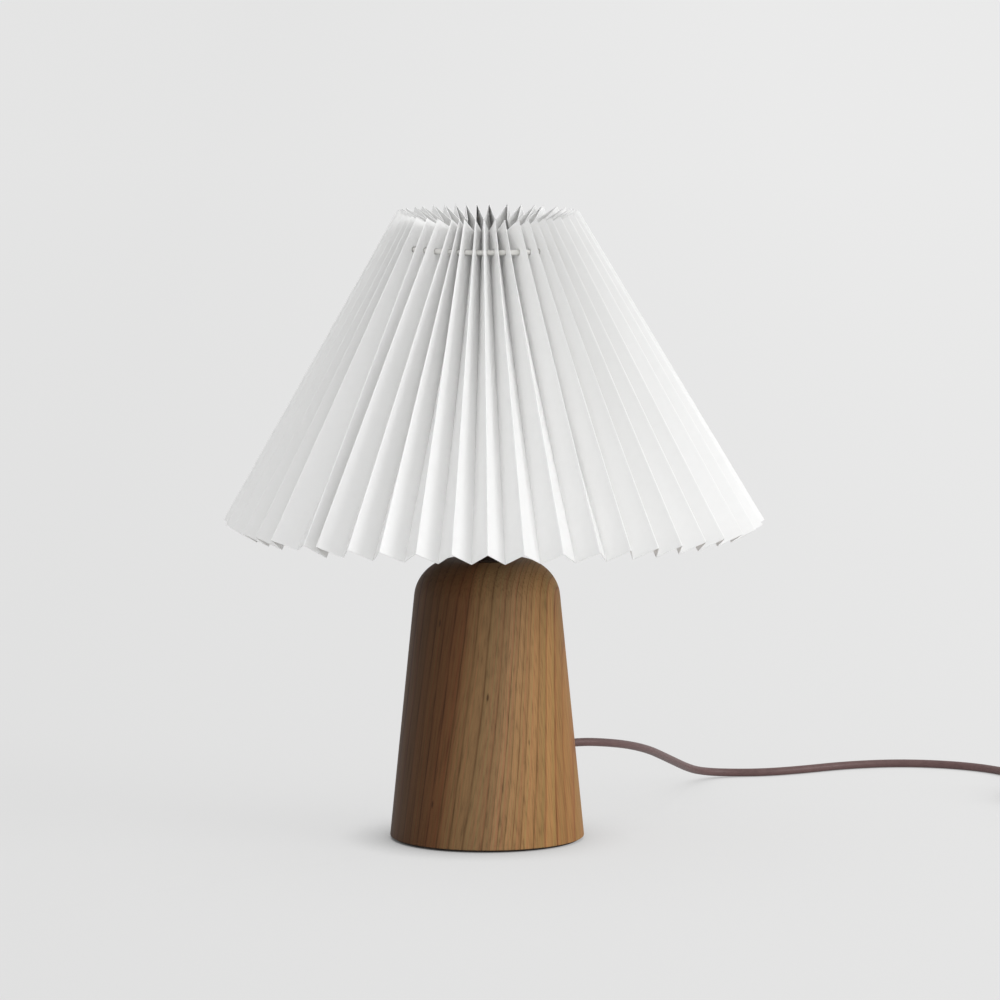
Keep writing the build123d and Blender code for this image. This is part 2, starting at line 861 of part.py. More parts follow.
def switch_outline(inset):
    """Plan of the switch: a wide middle between two narrow noses."""
    half_length = switch_length / 2 - inset
    nose = switch_nose_width / 2 - inset
    side = switch_width / 2 - inset
    quarter = [(half_length, nose), (switch_shoulder, side)]
    mirrored = [(-x, y) for x, y in reversed(quarter)]
    below = [(-x, -y) for x, y in quarter + mirrored]
    with BuildSketch() as plan:
        with BuildLine():
            Polyline(*quarter, *mirrored, *below, close=True)
        make_face()
        corners = plan.vertices()
        fillet(corners.filter_by(lambda v: abs(v.X) < switch_shoulder + inset), switch_corner)
    return plan.sketch


switch_plan = switch_outline(0)
switch_hollow = switch_outline(switch_wall)
screw_places = [(switch_screw_x, switch_screw_y), (-switch_screw_x, -switch_screw_y)]
with BuildPart() as switch_lower_shell:
    with BuildSketch(switch_plane(0)):
        add(switch_plan)
    extrude(amount=switch_low_height)
    chamfer(switch_lower_shell.faces().sort_by(Axis.Z)[0].edges(), switch_edge / 2)
    with BuildSketch(switch_plane(switch_wall)):
        add(switch_hollow)
    extrude(amount=switch_low_height, mode=Mode.SUBTRACT)
    with BuildSketch(switch_plane(0)):
        with Locations(*screw_places):
            Circle(switch_boss_radius)
    extrude(amount=switch_low_height)
    with BuildSketch(switch_plane(0)):
        with Locations(*screw_places):
            Circle(switch_screw_radius + slip_gap)
    extrude(amount=switch_low_height, mode=Mode.SUBTRACT)
    with BuildSketch(switch_plane(0)):
        with Locations(*screw_places):
            Circle(switch_screw_head_radius + slip_gap)
    extrude(amount=switch_wall, mode=Mode.SUBTRACT)
    with BuildSketch(switch_end(switch_length / 2 + overrun)):
        with Locations((0, switch_low_height)):
            Circle(cord_radius + slip_gap)
    extrude(amount=switch_length + 2 * overrun, mode=Mode.SUBTRACT)

window_length = rocker_length + 2 * window_gap
window_width = rocker_width + 2 * seat_gap
ear_offset = window_width / 2 + ear_thickness / 2
pin_length = window_width + 2 * ear_thickness
with BuildPart() as switch_upper_shell:
    with BuildSketch(switch_plane(switch_low_height)):
        add(switch_plan)
    extrude(amount=switch_top_height)
    fillet(switch_upper_shell.faces().sort_by(Axis.Z)[-1].edges(), switch_edge)
    with BuildSketch(switch_plane(switch_low_height)):
        add(switch_hollow)
    extrude(amount=switch_top_height - switch_wall, mode=Mode.SUBTRACT)
    with BuildSketch(switch_plane(switch_low_height)):
        with Locations(*screw_places):
            Circle(switch_boss_radius)
    extrude(amount=switch_top_height - switch_wall)
    with BuildSketch(switch_plane(switch_high - ear_drop)):
        with GridLocations(0, 2 * ear_offset, 1, 2):
            Rectangle(ear_length, ear_thickness)
    extrude(amount=ear_drop - switch_wall)
    with BuildSketch(switch_plane(switch_low_height)):
        with Locations(*screw_places):
            Circle(switch_screw_radius + thread_gap)
    extrude(amount=switch_screw_length - switch_low_height + overrun, mode=Mode.SUBTRACT)
    with BuildSketch(switch_plane(switch_low_height)):
        Rectangle(window_length, window_width)
    extrude(amount=switch_top_height + overrun, mode=Mode.SUBTRACT)
    with BuildSketch(switch_side(-pin_length / 2)):
        with Locations((0, pin_height)):
            Circle(rocker_pin_radius + thread_gap)
    extrude(amount=pin_length, mode=Mode.SUBTRACT)
    with BuildSketch(switch_end(switch_length / 2 + overrun)):
        with Locations((0, switch_low_height)):
            Circle(cord_radius + slip_gap)
    extrude(amount=switch_length + 2 * overrun, mode=Mode.SUBTRACT)

# Rocker, stored tipped to its off side, on a pin between the ears
with BuildPart() as switch_rocker:
    tipped = (0, cos(radians(rocker_tilt)), sin(radians(rocker_tilt)))
    pin_origin = (switch_x - rocker_width / 2, switch_y, pin_height)
    with BuildSketch(Plane(origin=pin_origin, x_dir=tipped, z_dir=(1, 0, 0))):
        with BuildLine():
            Polyline(
                (-rocker_length / 2, -rocker_under),
                (rocker_length / 2, -rocker_under),
                (rocker_length / 2, rocker_horn),
                (0, rocker_waist),
                (-rocker_length / 2, rocker_horn),
                close=True,
            )
        make_face()
        Circle(rocker_pin_radius + pin_gap, mode=Mode.SUBTRACT)
    extrude(amount=rocker_width)

with BuildPart() as rocker_pin:
    with BuildSketch(switch_side(-pin_length / 2)):
        with Locations((0, pin_height)):
            Circle(rocker_pin_radius)
    extrude(amount=pin_length)

# Contact strips on the floor of the switch, its cores and its screws
strip_out = strip_gap / 2 + strip_thickness
with BuildPart() as switch_contacts:
    with BuildSketch(switch_side(-core_spread / 2 - strip_width / 2)):
        for side in (1, -1):
            with BuildLine():
                Polyline(
                    (side * strip_gap / 2, switch_wall),
                    (side * (strip_out + strip_foot), switch_wall),
                    (side * (strip_out + strip_foot), switch_wall + strip_thickness),
                    (side * strip_out, switch_wall + strip_thickness),
                    (side * strip_out, switch_wall + strip_height),
                    (side * strip_gap / 2, switch_wall + strip_height),
                    close=True,
                )
            make_face()
    extrude(amount=strip_width)

with BuildPart() as switch_wires:
    with BuildSketch(switch_end(switch_length / 2)):
        with Locations((core_spread / 2 + slip_gap, switch_low_height)):
            Circle(core_radius)
    extrude(amount=switch_length)
    for side in (1, -1):
        with BuildSketch(switch_end(side * switch_length / 2)):
            with Locations((-core_spread / 2, switch_low_height)):
                Circle(core_radius)
        extrude(amount=side * (switch_length / 2 - strip_out))

with BuildPart() as switch_screws:
    with BuildSketch(switch_plane(seat_gap)):
        with Locations(*screw_places):
            Circle(switch_screw_head_radius)
    extrude(amount=switch_wall - seat_gap)
    with BuildSketch(switch_plane(switch_wall / 2)):
        with Locations(*screw_places):
            Circle(switch_screw_radius)
    extrude(amount=switch_screw_length - switch_wall / 2)

# Free cord: from the foot to the switch, on to the coil, and from the coil to the plug
cord_lead, lead_length = route_tube(lead_route, "cord_lead")
cord_link, link_length = route_tube(link_route, "cord_link")
cord_tail, tail_length = route_tube(tail_route, "cord_tail")

# Coil: half turns that shrink by half a pitch each, one tilted half turn, and out again
shrinking = [coil_radius - coil_pitch / 2 * step for step in range(coil_half_turns_in)]
inmost = coil_radius - coil_pitch / 2 * coil_half_turns_in
half_turns = shrinking + [inmost] + shrinking[::-1]
low_level, high_level = cord_radius, cord_radius + coil_pitch
with BuildPart() as cord_coil:
    with BuildLine() as path:
        x, y = coil_start
        heading = -1
        Line((x, y, low_level), (x, y - cord_diameter, low_level))
        y = y - cord_diameter
        level = low_level
        for step, radius in enumerate(half_turns):
            climb = high_level - low_level if step == coil_half_turns_in else 0
            across = 2 * radius * -heading
            start = Vector(x, y, level)
            end = Vector(x + across, y, level + climb)
            middle = (start + end) / 2 + Vector(0, heading * (end - start).length / 2, 0)
            ThreePointArc(start, middle, end)
            x, level, heading = end.X, end.Z, -heading
        Line((x, y, level), (x, y + cord_diameter, level))
    with BuildSketch(Plane(origin=(*coil_start, low_level), z_dir=(0, -1, 0))):
        Circle(cord_radius)
    sweep(path=path.line)
coil_line = path.wire()
coil_length = coil_line.length
coil_end = (round(x, 2), round(y + cord_diameter, 2), round(level, 2))
print("coil ends at", *coil_end, "length", round(coil_length, 1))


def least_coil_gap(step=2.0, skip=6):
    """Least clear gap of the coil to itself, from points along its line."""
    count = int(coil_length / step)
    points = [coil_line.position_at(place / count) for place in range(count + 1)]
    least = coil_length
    for place, point in enumerate(points):
        for other in points[place + skip:]:
            least = min(least, (point - other).length)
    return least - cord_diameter


print("coil least gap to itself", round(least_coil_gap(), 3))
print("coil volume ratio", round(cord_coil.part.volume / (pi * cord_radius**2 * coil_length), 4))
cord_total = lead_length + switch_length + link_length + coil_length + tail_length
print("cord from the foot to the plug", round(cord_total, 1))

# Plug: flat body and ribbed strain relief in one moulding, along the cord's last run
plug_axis = Axis((plug_x, plug_y, plug_thickness / 2), (0, 1, 0))
plug_face = relief_length + plug_length
relief_pitch = relief_length / (relief_groove_count + 2)


def plug_end(distance):
    """Upright plane across the plug, at a distance along it from the end of its cord."""
    origin = (plug_x, plug_y + distance, plug_thickness / 2)
    return Plane(origin=origin, x_dir=(1, 0, 0), z_dir=(0, 1, 0))


with BuildPart() as plug_body:
    with BuildSketch(Plane(origin=(plug_x, plug_y, 0))) as plan:
        with BuildLine():
            Polyline(
                (-plug_rear_width / 2, relief_length),
                (plug_rear_width / 2, relief_length),
                (plug_width / 2, relief_length + plug_length / 2),
                (plug_width / 2, plug_face),
                (-plug_width / 2, plug_face),
                (-plug_width / 2, relief_length + plug_length / 2),
                close=True,
            )
        make_face()
        fillet(plan.vertices(), plug_corner)
    extrude(amount=plug_thickness)
    fillet(plug_body.faces().filter_by(Axis.Z).edges(), plug_edge)
    with BuildSketch(Plane(origin=(plug_x, plug_y, plug_thickness / 2))):
        with BuildLine():
            Polyline(
                (0, 0),
                (relief_tip_radius, 0),
                (relief_root_radius, relief_length),
                (relief_root_radius, relief_length + plug_edge),
                (0, relief_length + plug_edge),
                close=True,
            )
        make_face()
    revolve(axis=plug_axis)
    with BuildSketch(Plane(origin=(plug_x, plug_y, plug_thickness / 2))):
        for groove in range(relief_groove_count):
            along = relief_pitch * (groove + 1)
            deep = relief_tip_radius + (relief_root_radius - relief_tip_radius) * along / relief_length
            with Locations((deep, along)):
                Rectangle(2 * relief_groove_depth, relief_groove_width)
    revolve(axis=plug_axis, mode=Mode.SUBTRACT)
    with BuildSketch(plug_end(plug_face - plug_pin_seat)):
        with GridLocations(plug_pin_spacing, 0, 2, 1):
            Circle(plug_pin_root_radius + thread_gap)
    extrude(amount=plug_pin_seat + overrun, mode=Mode.SUBTRACT)

with BuildPart() as plug_pins:
    with BuildSketch(plug_end(plug_face - plug_pin_seat)):
        with GridLocations(plug_pin_spacing, 0, 2, 1):
            Circle(plug_pin_root_radius)
    extrude(amount=plug_pin_seat)
    with BuildSketch(plug_end(plug_face)):
        with GridLocations(plug_pin_spacing, 0, 2, 1):
            Circle(plug_pin_radius)
    extrude(amount=plug_pin_length)
    fillet(plug_pins.edges().filter_by(GeomType.CIRCLE).group_by(Axis.Y)[-1], plug_pin_round)

# Every piece under its own name
pieces = {
    "wood_base": wood_base,
    "felt_pad": felt_pad,
    "ballast_disc": ballast_disc,
    "ballast_screws": ballast_screws,
    "threaded_tube": threaded_tube,
    "lower_washer": lower_washer,
    "lower_nut": lower_nut,
    "seat_washer": seat_washer,
    "lock_nut": lock_nut,
    "cord_bush": cord_bush,
    "cord_grip": cord_grip,
    "grip_screw": grip_screw,
    "inner_lead": inner_lead,
    "live_wire": live_wire,
    "neutral_wire": neutral_wire,
    "holder_cap": holder_cap,
    "holder_lock_screw": holder_lock_screw,
    "holder_shell": holder_shell,
    "holder_insert": holder_insert,
    "screw_sleeve": screw_sleeve,
    "centre_contact": centre_contact,
    "terminal_posts": terminal_posts,
    "terminal_screws": terminal_screws,
    "shade_ring": shade_ring,
    "bulb_contact": bulb_contact,
    "bulb_insulator": bulb_insulator,
    "bulb_cap": bulb_cap,
    "bulb_driver": bulb_driver,
    "bulb_light_board": bulb_light_board,
    "bulb_glass": bulb_glass,
    "shade_carrier": shade_carrier,
    "shade_pleats": shade_pleats,
    "shade_drawstring": shade_drawstring,
    "switch_lower_shell": switch_lower_shell,
    "switch_upper_shell": switch_upper_shell,
    "switch_rocker": switch_rocker,
    "rocker_pin": rocker_pin,
    "switch_contacts": switch_contacts,
    "switch_wires": switch_wires,
    "switch_screws": switch_screws,
    "cord_lead": cord_lead,
    "cord_link": cord_link,
    "cord_coil": cord_coil,
    "cord_tail": cord_tail,
    "plug_body": plug_body,
    "plug_pins": plug_pins,
}
os.makedirs("parts", exist_ok=True)
for name, piece in pieces.items():
    piece.part.label = name
    export_step(piece.part, f"parts/{name}.step")
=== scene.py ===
import math
import random

import bmesh
import bpy
from mathutils import Matrix, Vector


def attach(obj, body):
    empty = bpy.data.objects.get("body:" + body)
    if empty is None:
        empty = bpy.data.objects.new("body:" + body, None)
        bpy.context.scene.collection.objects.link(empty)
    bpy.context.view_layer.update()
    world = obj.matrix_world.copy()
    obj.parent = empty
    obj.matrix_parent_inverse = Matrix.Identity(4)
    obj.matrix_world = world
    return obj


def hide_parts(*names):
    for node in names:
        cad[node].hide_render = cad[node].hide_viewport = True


# The table lamp's looks, in metres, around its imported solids
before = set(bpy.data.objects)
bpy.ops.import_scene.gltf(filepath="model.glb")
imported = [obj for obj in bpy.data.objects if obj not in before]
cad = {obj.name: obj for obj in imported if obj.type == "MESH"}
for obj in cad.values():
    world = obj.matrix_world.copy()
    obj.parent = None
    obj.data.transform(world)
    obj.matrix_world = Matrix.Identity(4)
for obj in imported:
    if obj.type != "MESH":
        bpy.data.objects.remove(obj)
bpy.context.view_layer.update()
MM = 0.001
FOLD_SEED = 48
draw = random.Random(FOLD_SEED)

# Camera: fitted to the foot and the shade in the photograph, a long lens from 5.4 m
FOCAL_PIXELS, FRAME_PIXELS, SENSOR = 8371.6, 1000, 36
CAMERA_PLACE, CAMERA_DIP = (0.008345, -5.3742, 0.9065), 7.27
camera_data = bpy.data.cameras.new("camera")
camera_data.sensor_width = SENSOR
camera_data.lens = FOCAL_PIXELS / FRAME_PIXELS * SENSOR
camera = bpy.data.objects.new("camera", camera_data)
camera.location = CAMERA_PLACE
camera.rotation_euler = (math.radians(90 - CAMERA_DIP), 0, 0)
bpy.context.scene.collection.objects.link(camera)
bpy.context.scene.camera = camera

# Mains cord: from the foot along the table, through the switch, round the coil, to the plug.
# Its points are in millimetres
CORD_DIAMETER = 5.4 * MM
CORD_SIDE_STEPS, SPLINE_ORDER, SPLINE_STEPS = 5, 3, 8
LEAD = [
    (47.35, 33.15, 56.0),
    (60.5, 42.36, 56.0),
    (76.0, 55.5, 53.6),
    (92.5, 77.5, 48.6),
    (106.5, 108.0, 40.6),
    (117.0, 143.0, 30.6),
    (126.5, 179.0, 20.6),
    (134.5, 209.0, 12.4),
    (141.5, 227.0, 7.4),
    (152.5, 240.5, 4.0),
    (169.0, 246.2, 2.7),
    (188.5, 247.8, 2.7),
    (212.5, 258.5, 2.7),
    (243.0, 278.0, 2.7),
    (277.0, 288.0, 2.7),
    (309.0, 283.5, 2.7),
    (336.0, 268.5, 2.7),
    (355.0, 246.0, 2.7),
    (363.5, 224.0, 3.1),
    (366.0, 204.0, 8.0),
    (366.0, 190.0, 8.0),
]
LINK = [
    (366.0, 118.0, 8.0),
    (366.0, 104.0, 8.0),
    (367.2, 84.0, 3.4),
    (366.0, 66.0, 3.4),
]
TAIL = [
    (444.9, 62.0, 9.3),
    (447.2, 80.0, 2.7),
    (450.0, 97.0, 2.7),
    (450.8, 113.0, 7.0),
    (450.8, 124.0, 7.0),
]
COIL_LEFT, COIL_MIDDLE, COIL_RADIUS, COIL_LIFT = 366.0, 44.6, 36.5, 0.7
COIL_PITCH, COIL_HALF_TURNS, COIL_STEPS = 5.9, 11, 6


def coil_points():
    """Points round the coil, twelve to a turn: in on the table, up, and out on top."""
    points = []
    edge, side = COIL_LEFT, 1
    level = CORD_DIAMETER / MM / 2 + COIL_LIFT
    inmost = COIL_HALF_TURNS // 2
    for half in range(COIL_HALF_TURNS):
        radius = COIL_RADIUS - COIL_PITCH / 2 * (inmost - abs(inmost - half))
        middle = edge + side * radius
        reach = radius / math.cos(math.pi / COIL_STEPS / 2)
        for step in range(COIL_STEPS):
            turn = math.pi * (step + 0.5) / COIL_STEPS
            if half == inmost:
                level += COIL_PITCH / COIL_STEPS
            across = middle - side * reach * math.cos(turn)
            points.append((across, COIL_MIDDLE - side * reach * math.sin(turn), level))
        edge, side = middle + side * radius, -side
    return points


def smooth_line(name, points, radius):
    """A round cord along one smooth spline, with points in millimetres as its control points."""
    curve = bpy.data.curves.new(name, "CURVE")
    curve.dimensions = "3D"
    curve.bevel_depth = 1
    curve.bevel_resolution = CORD_SIDE_STEPS
    curve.use_fill_caps = True
    spline = curve.splines.new("NURBS")
    spline.points.add(len(points) - 1)
    for point, place in zip(spline.points, points):
        point.co = (*(Vector(place) * MM), 1)
        point.radius = radius
    spline.order_u = SPLINE_ORDER
    spline.use_endpoint_u = True
    spline.resolution_u = SPLINE_STEPS
    made = bpy.data.objects.new(name, curve)
    bpy.context.scene.collection.objects.link(made)
    return made


mains_cord = smooth_line("mains_cord", LEAD + LINK + coil_points() + TAIL, CORD_DIAMETER / 2)
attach(mains_cord, "root")
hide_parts("cord_lead", "cord_link", "cord_coil", "cord_tail")

# Materials. A Mix node's colour sockets have no names of their own, so they go by their places
MIX_SHARE, MIX_FIRST, MIX_SECOND, MIX_RESULT = 0, 6, 7, 2


def colour(text):
    """Linear colour of an sRGB hex value."""
    channels = [int(text[place : place + 2], 16) / 255 for place in (0, 2, 4)]
    return [*((c / 12.92 if c <= 0.04045 else ((c + 0.055) / 1.055) ** 2.4) for c in channels), 1]


def node(tree, kind, sockets=(), stops=(), **settings):
    """Adds a shader node: its settings, its ramp's stops, and its sockets' values or links."""
    made = tree.nodes.new("ShaderNode" + kind)
    for name, value in settings.items():
        setattr(made, name, value)
    for place, (position, value) in enumerate(stops):
        ramp = made.color_ramp.elements
        stop = ramp[place] if place < 2 else ramp.new(position)
        stop.position = position
        stop.color = value if hasattr(value, "__len__") else (value, value, value, 1)
    for name, value in dict(sockets).items():
        if isinstance(value, bpy.types.NodeSocket):
            tree.links.new(value, made.inputs[name])
        else:
            made.inputs[name].default_value = value
    return made


def new_material(name, **sockets):
    """A material with its shader's own sockets set, and its node tree and shader."""
    made = bpy.data.materials.new(name)
    made.use_nodes = True
    shader = made.node_tree.nodes["Principled BSDF"]
    for socket, value in sockets.items():
        shader.inputs[socket.replace("_", " ")].default_value = value
    return made, made.node_tree, shader


def finish_shader(tree, shader, tint, roughness, relief):
    """Links a finish's colour, roughness and relief to the shader."""
    tree.links.new(tint, shader.inputs["Base Color"])
    tree.links.new(roughness, shader.inputs["Roughness"])
    tree.links.new(relief, shader.inputs["Normal"])


# An even finish has patches of this many grains, and their two colours meet between the shares
PATCH_GRAINS, PATCH_SHARES, RELIEF_STRENGTH = 12, (0.3, 0.7), 0.6


def textured(name, pale, dark, roughness, grain, depth, spread=0.08, **sockets):
    """A finish with a fine even texture: two near colours, and grain and depth in metres."""
    made, tree, shader = new_material(name, **sockets)
    place = node(tree, "TexCoord").outputs["Object"]
    patch_scale = 1 / (PATCH_GRAINS * grain)
    patches = node(tree, "TexNoise", {"Vector": place, "Scale": patch_scale, "Detail": 3})
    fine = node(tree, "TexNoise", {"Vector": place, "Scale": 1 / grain, "Detail": 2})
    low, high = PATCH_SHARES
    tint = node(
        tree,
        "ValToRGB",
        {"Fac": patches.outputs["Fac"]},
        stops=[(low, colour(dark)), (high, colour(pale))],
    )
    shine = node(
        tree,
        "MapRange",
        {
            "Value": fine.outputs["Fac"],
            "To Min": roughness * (1 - spread),
            "To Max": roughness * (1 + spread),
        },
    )
    relief = node(
        tree,
        "Bump",
        {"Height": fine.outputs["Fac"], "Distance": depth, "Strength": RELIEF_STRENGTH},
    )
    finish_shader(
        tree, shader, tint.outputs["Color"], shine.outputs["Result"], relief.outputs["Normal"]
    )
    return made


# Oiled wood, turned along its grain and seen across its rings. The heart of the tree is to the
# left of the foot and behind it, and the wood darkens towards it. That darkening is partly the
# wood's own tone and partly painted shade on the foot's left side, away from the key light.
# The grain leans to the right where it is left of the middle, and stands straight at one level
# of the foot
HEART_LEFT, HEART_BEHIND = 0.6, 0.1
GRAIN_LEVEL, GRAIN_LEAN = 88 * MM, 0.125
LEAN_ACROSS = {
    "From Min": -15 * MM,
    "From Max": 52 * MM,
    "To Min": GRAIN_LEAN,
    "To Max": -GRAIN_LEAN / 2,
}
# Span across the foot, counted from the heart, and how far the rings wander
GRAIN_START, GRAIN_SPAN, RING_WANDER = 0.54, 140 * MM, 3 * MM
SPAN_ACROSS = {
    "From Min": GRAIN_START + RING_WANDER / 2,
    "From Max": GRAIN_START + RING_WANDER / 2 + GRAIN_SPAN,
}
# Shares of that span, with the rings counted up to each, and with the colour there: the wood's
# own, darkened on the left by painted shade
RING_COUNT = 27
RINGS_BY_SHARES = [
    (0.0, 0),
    (0.145, 3),
    (0.265, 6),
    (0.36, 8),
    (0.415, 9),
    (0.475, 10),
    (0.545, 11),
    (0.615, 12),
    (0.665, 14),
    (0.74, 17),
    (0.78, 18),
    (0.84, 20),
    (1.0, 27),
]
# Painted shade: these tints darken the left of the foot beyond the wood's own tone, as on its side
# away from the key light
TINTS_WITH_LEFT_SHADE_BY_SHARES = [
    (0.0, "3a2616"),
    (0.22, "533b25"),
    (0.3, "593e26"),
    (0.4, "6d4b30"),
    (0.45, "826545"),
    (0.56, "8e7453"),
    (0.65, "9d7e5c"),
    (0.8, "ad895b"),
    (1.0, "ac7947"),
]
# Within one year the wood darkens late and starts pale again
LINE_BY_SHARES = [
    (0.0, 0.6),
    (0.05, 0.15),
    (0.14, 0.0),
    (0.6, 0.06),
    (0.86, 0.3),
    (0.94, 1.0),
    (1.0, 1.0),
]
# The dark line's strength by year and along the trunk, its tint, and each year's lightness
LINE_BY_YEAR = {"To Min": 0.3, "To Max": 0.72}
LINE_FADING = {"From Min": 0.35, "From Max": 0.65, "To Min": 0.6, "To Max": 1.1}
LINE_TINT = "8c6c5a"
LIGHTNESS_BY_YEAR = {"To Min": 0.92, "To Max": 1.12}
# Sizes of the patterns across the trunk, and the share that each is squeezed to along it, so
# that it is drawn out along the grain. Real pores are finer: these are coarse enough to show
WANDER_SIZE, WANDER_SHARE = 25 * MM, 0.2
FADING_SIZE, FADING_SHARE = 5.556 * MM, 0.12
PORE_SIZE, PORE_SHARE = 1.111 * MM, 0.03
DUCT_SIZE, DUCT_SHARE = 9.09 * MM, 0.3
FIBRE_SIZE, FIBRE_STEPS = 1.42857 * MM, {"From Min": 0.35, "From Max": 0.65}
FIBRE_TINTS = ("f5f7ea", "ffeae4")
PORES_BY_SHARES = [(0.28, 0.68), (0.42, 0.92), (0.62, 1.06)]
# Resin ducts: few, dark in their middle
DUCTS_LEFT_OUT, DUCT_TINT = 0.82, "38200f"
DUCT_DEPTH = {"From Min": 0.05, "From Max": 0.11, "To Min": 0.75, "To Max": 0}
WOOD_ROUGHNESS = {"To Min": 0.66, "To Max": 0.5}
PORE_DEPTH, PORE_STRENGTH = 0.12 * MM, 0.5


def straightened_trunk(tree):
    """Places in the wood with the lean of its grain taken out."""
    place = node(tree, "SeparateXYZ", {"Vector": node(tree, "TexCoord").outputs["Object"]})
    lean = node(tree, "MapRange", {"Value": place.outputs["X"], **LEAN_ACROSS})
    up = node(tree, "Math", {0: place.outputs["Z"], 1: -GRAIN_LEVEL}, operation="ADD")
    shift = node(
        tree, "Math", {0: lean.outputs["Result"], 1: up.outputs["Value"]}, operation="MULTIPLY"
    )
    across = node(
        tree, "Math", {0: place.outputs["X"], 1: shift.outputs["Value"]}, operation="SUBTRACT"
    )
    trunk = node(
        tree,
        "CombineXYZ",
        {"X": across.outputs["Value"], "Y": place.outputs["Y"], "Z": place.outputs["Z"]},
    )
    return trunk.outputs["Vector"]


def heart_distance(tree, trunk):
    """The distance from the heart of the tree, with a slow wander."""
    drawn_out = node(tree, "Mapping", {"Vector": trunk, "Scale": (1, 1, WANDER_SHARE)})
    wander = node(
        tree,
        "TexNoise",
        {"Vector": drawn_out.outputs["Vector"], "Scale": 1 / WANDER_SIZE, "Detail": 2},
    )
    flat = node(
        tree,
        "Mapping",
        {"Vector": trunk, "Location": (HEART_LEFT, -HEART_BEHIND, 0), "Scale": (1, 1, 0)},
    )
    distance = node(tree, "VectorMath", {0: flat.outputs["Vector"]}, operation="LENGTH")
    wavy = node(
        tree,
        "Math",
        {0: wander.outputs["Fac"], 1: RING_WANDER, 2: distance.outputs["Value"]},
        operation="MULTIPLY_ADD",
    )
    return wavy.outputs["Value"]


def ring_lines(tree, trunk, across):
    """How much of the dark line of its year each place has, and a number drawn for the year."""
    counted = node(
        tree,
        "ValToRGB",
        {"Fac": across},
        stops=[(share, count / RING_COUNT) for share, count in RINGS_BY_SHARES],
    )
    rings = node(
        tree, "Math", {0: counted.outputs["Color"], 1: RING_COUNT}, operation="MULTIPLY"
    )
    within = node(tree, "Math", {0: rings.outputs["Value"]}, operation="FRACT")
    late = node(tree, "ValToRGB", {"Fac": within.outputs["Value"]}, stops=LINE_BY_SHARES)
    year = node(tree, "Math", {0: rings.outputs["Value"]}, operation="FLOOR")
    drawn = node(tree, "TexWhiteNoise", {"W": year.outputs["Value"]}, noise_dimensions="1D")
    drawn_out = node(tree, "Mapping", {"Vector": trunk, "Scale": (1, 1, FADING_SHARE)})
    fading = node(
        tree,
        "TexNoise",
        {"Vector": drawn_out.outputs["Vector"], "Scale": 1 / FADING_SIZE, "Detail": 2},
    )
    strong = node(tree, "MapRange", {"Value": drawn.outputs["Value"], **LINE_BY_YEAR})
    patchy = node(tree, "MapRange", {"Value": fading.outputs["Fac"], **LINE_FADING})
    line_share = node(
        tree,
        "Math",
        {0: strong.outputs["Result"], 1: patchy.outputs["Result"]},
        operation="MULTIPLY",
    )
    line = node(
        tree,
        "Math",
        {0: late.outputs["Color"], 1: line_share.outputs["Value"]},
        operation="MULTIPLY",
    )
    return line.outputs["Value"], drawn.outputs["Value"]


def wood_tone_with_left_shade(tree, distance, across, year_number):
    """The colour between the lines: by place, with painted shade on the left, by fibre and by
    year.
    """
    body = node(
        tree,
        "ValToRGB",
        {"Fac": across},
        stops=[(share, colour(tint)) for share, tint in TINTS_WITH_LEFT_SHADE_BY_SHARES],
    )
    fibres = node(
        tree,
        "TexNoise",
        {"W": distance, "Scale": 1 / FIBRE_SIZE, "Detail": 3},
        noise_dimensions="1D",
    )
    redder = node(tree, "MapRange", {"Value": fibres.outputs["Fac"], **FIBRE_STEPS})
    green, red = FIBRE_TINTS
    streaked = node(
        tree,
        "Mix",
        {MIX_SHARE: redder.outputs["Result"], MIX_FIRST: colour(green), MIX_SECOND: colour(red)},
        data_type="RGBA",
    )
    tinted = node(
        tree,
        "Mix",
        {
            MIX_SHARE: 1.0,
            MIX_FIRST: body.outputs["Color"],
            MIX_SECOND: streaked.outputs[MIX_RESULT],
        },
        data_type="RGBA",
        blend_type="MULTIPLY",
    )
    lighter = node(tree, "MapRange", {"Value": year_number, **LIGHTNESS_BY_YEAR})
    yearly = node(
        tree,
        "HueSaturation",
        {"Color": tinted.outputs[MIX_RESULT], "Value": lighter.outputs["Result"]},
    )
    return yearly.outputs["Color"]


def duct_share(tree, trunk):
    """How much of a resin duct's colour each place has."""
    drawn_out = node(tree, "Mapping", {"Vector": trunk, "Scale": (1, 1, DUCT_SHARE)})
    duct = node(
        tree, "TexVoronoi", {"Vector": drawn_out.outputs["Vector"], "Scale": 1 / DUCT_SIZE}
    )
    drawn = node(tree, "SeparateColor", {"Color": duct.outputs["Color"]})
    few = node(
        tree, "Math", {0: drawn.outputs["Red"], 1: DUCTS_LEFT_OUT}, operation="GREATER_THAN"
    )
    core = node(tree, "MapRange", {"Value": duct.outputs["Distance"], **DUCT_DEPTH})
    dark = node(
        tree, "Math", {0: few.outputs["Value"], 1: core.outputs["Result"]}, operation="MULTIPLY"
    )
    return dark.outputs["Value"]


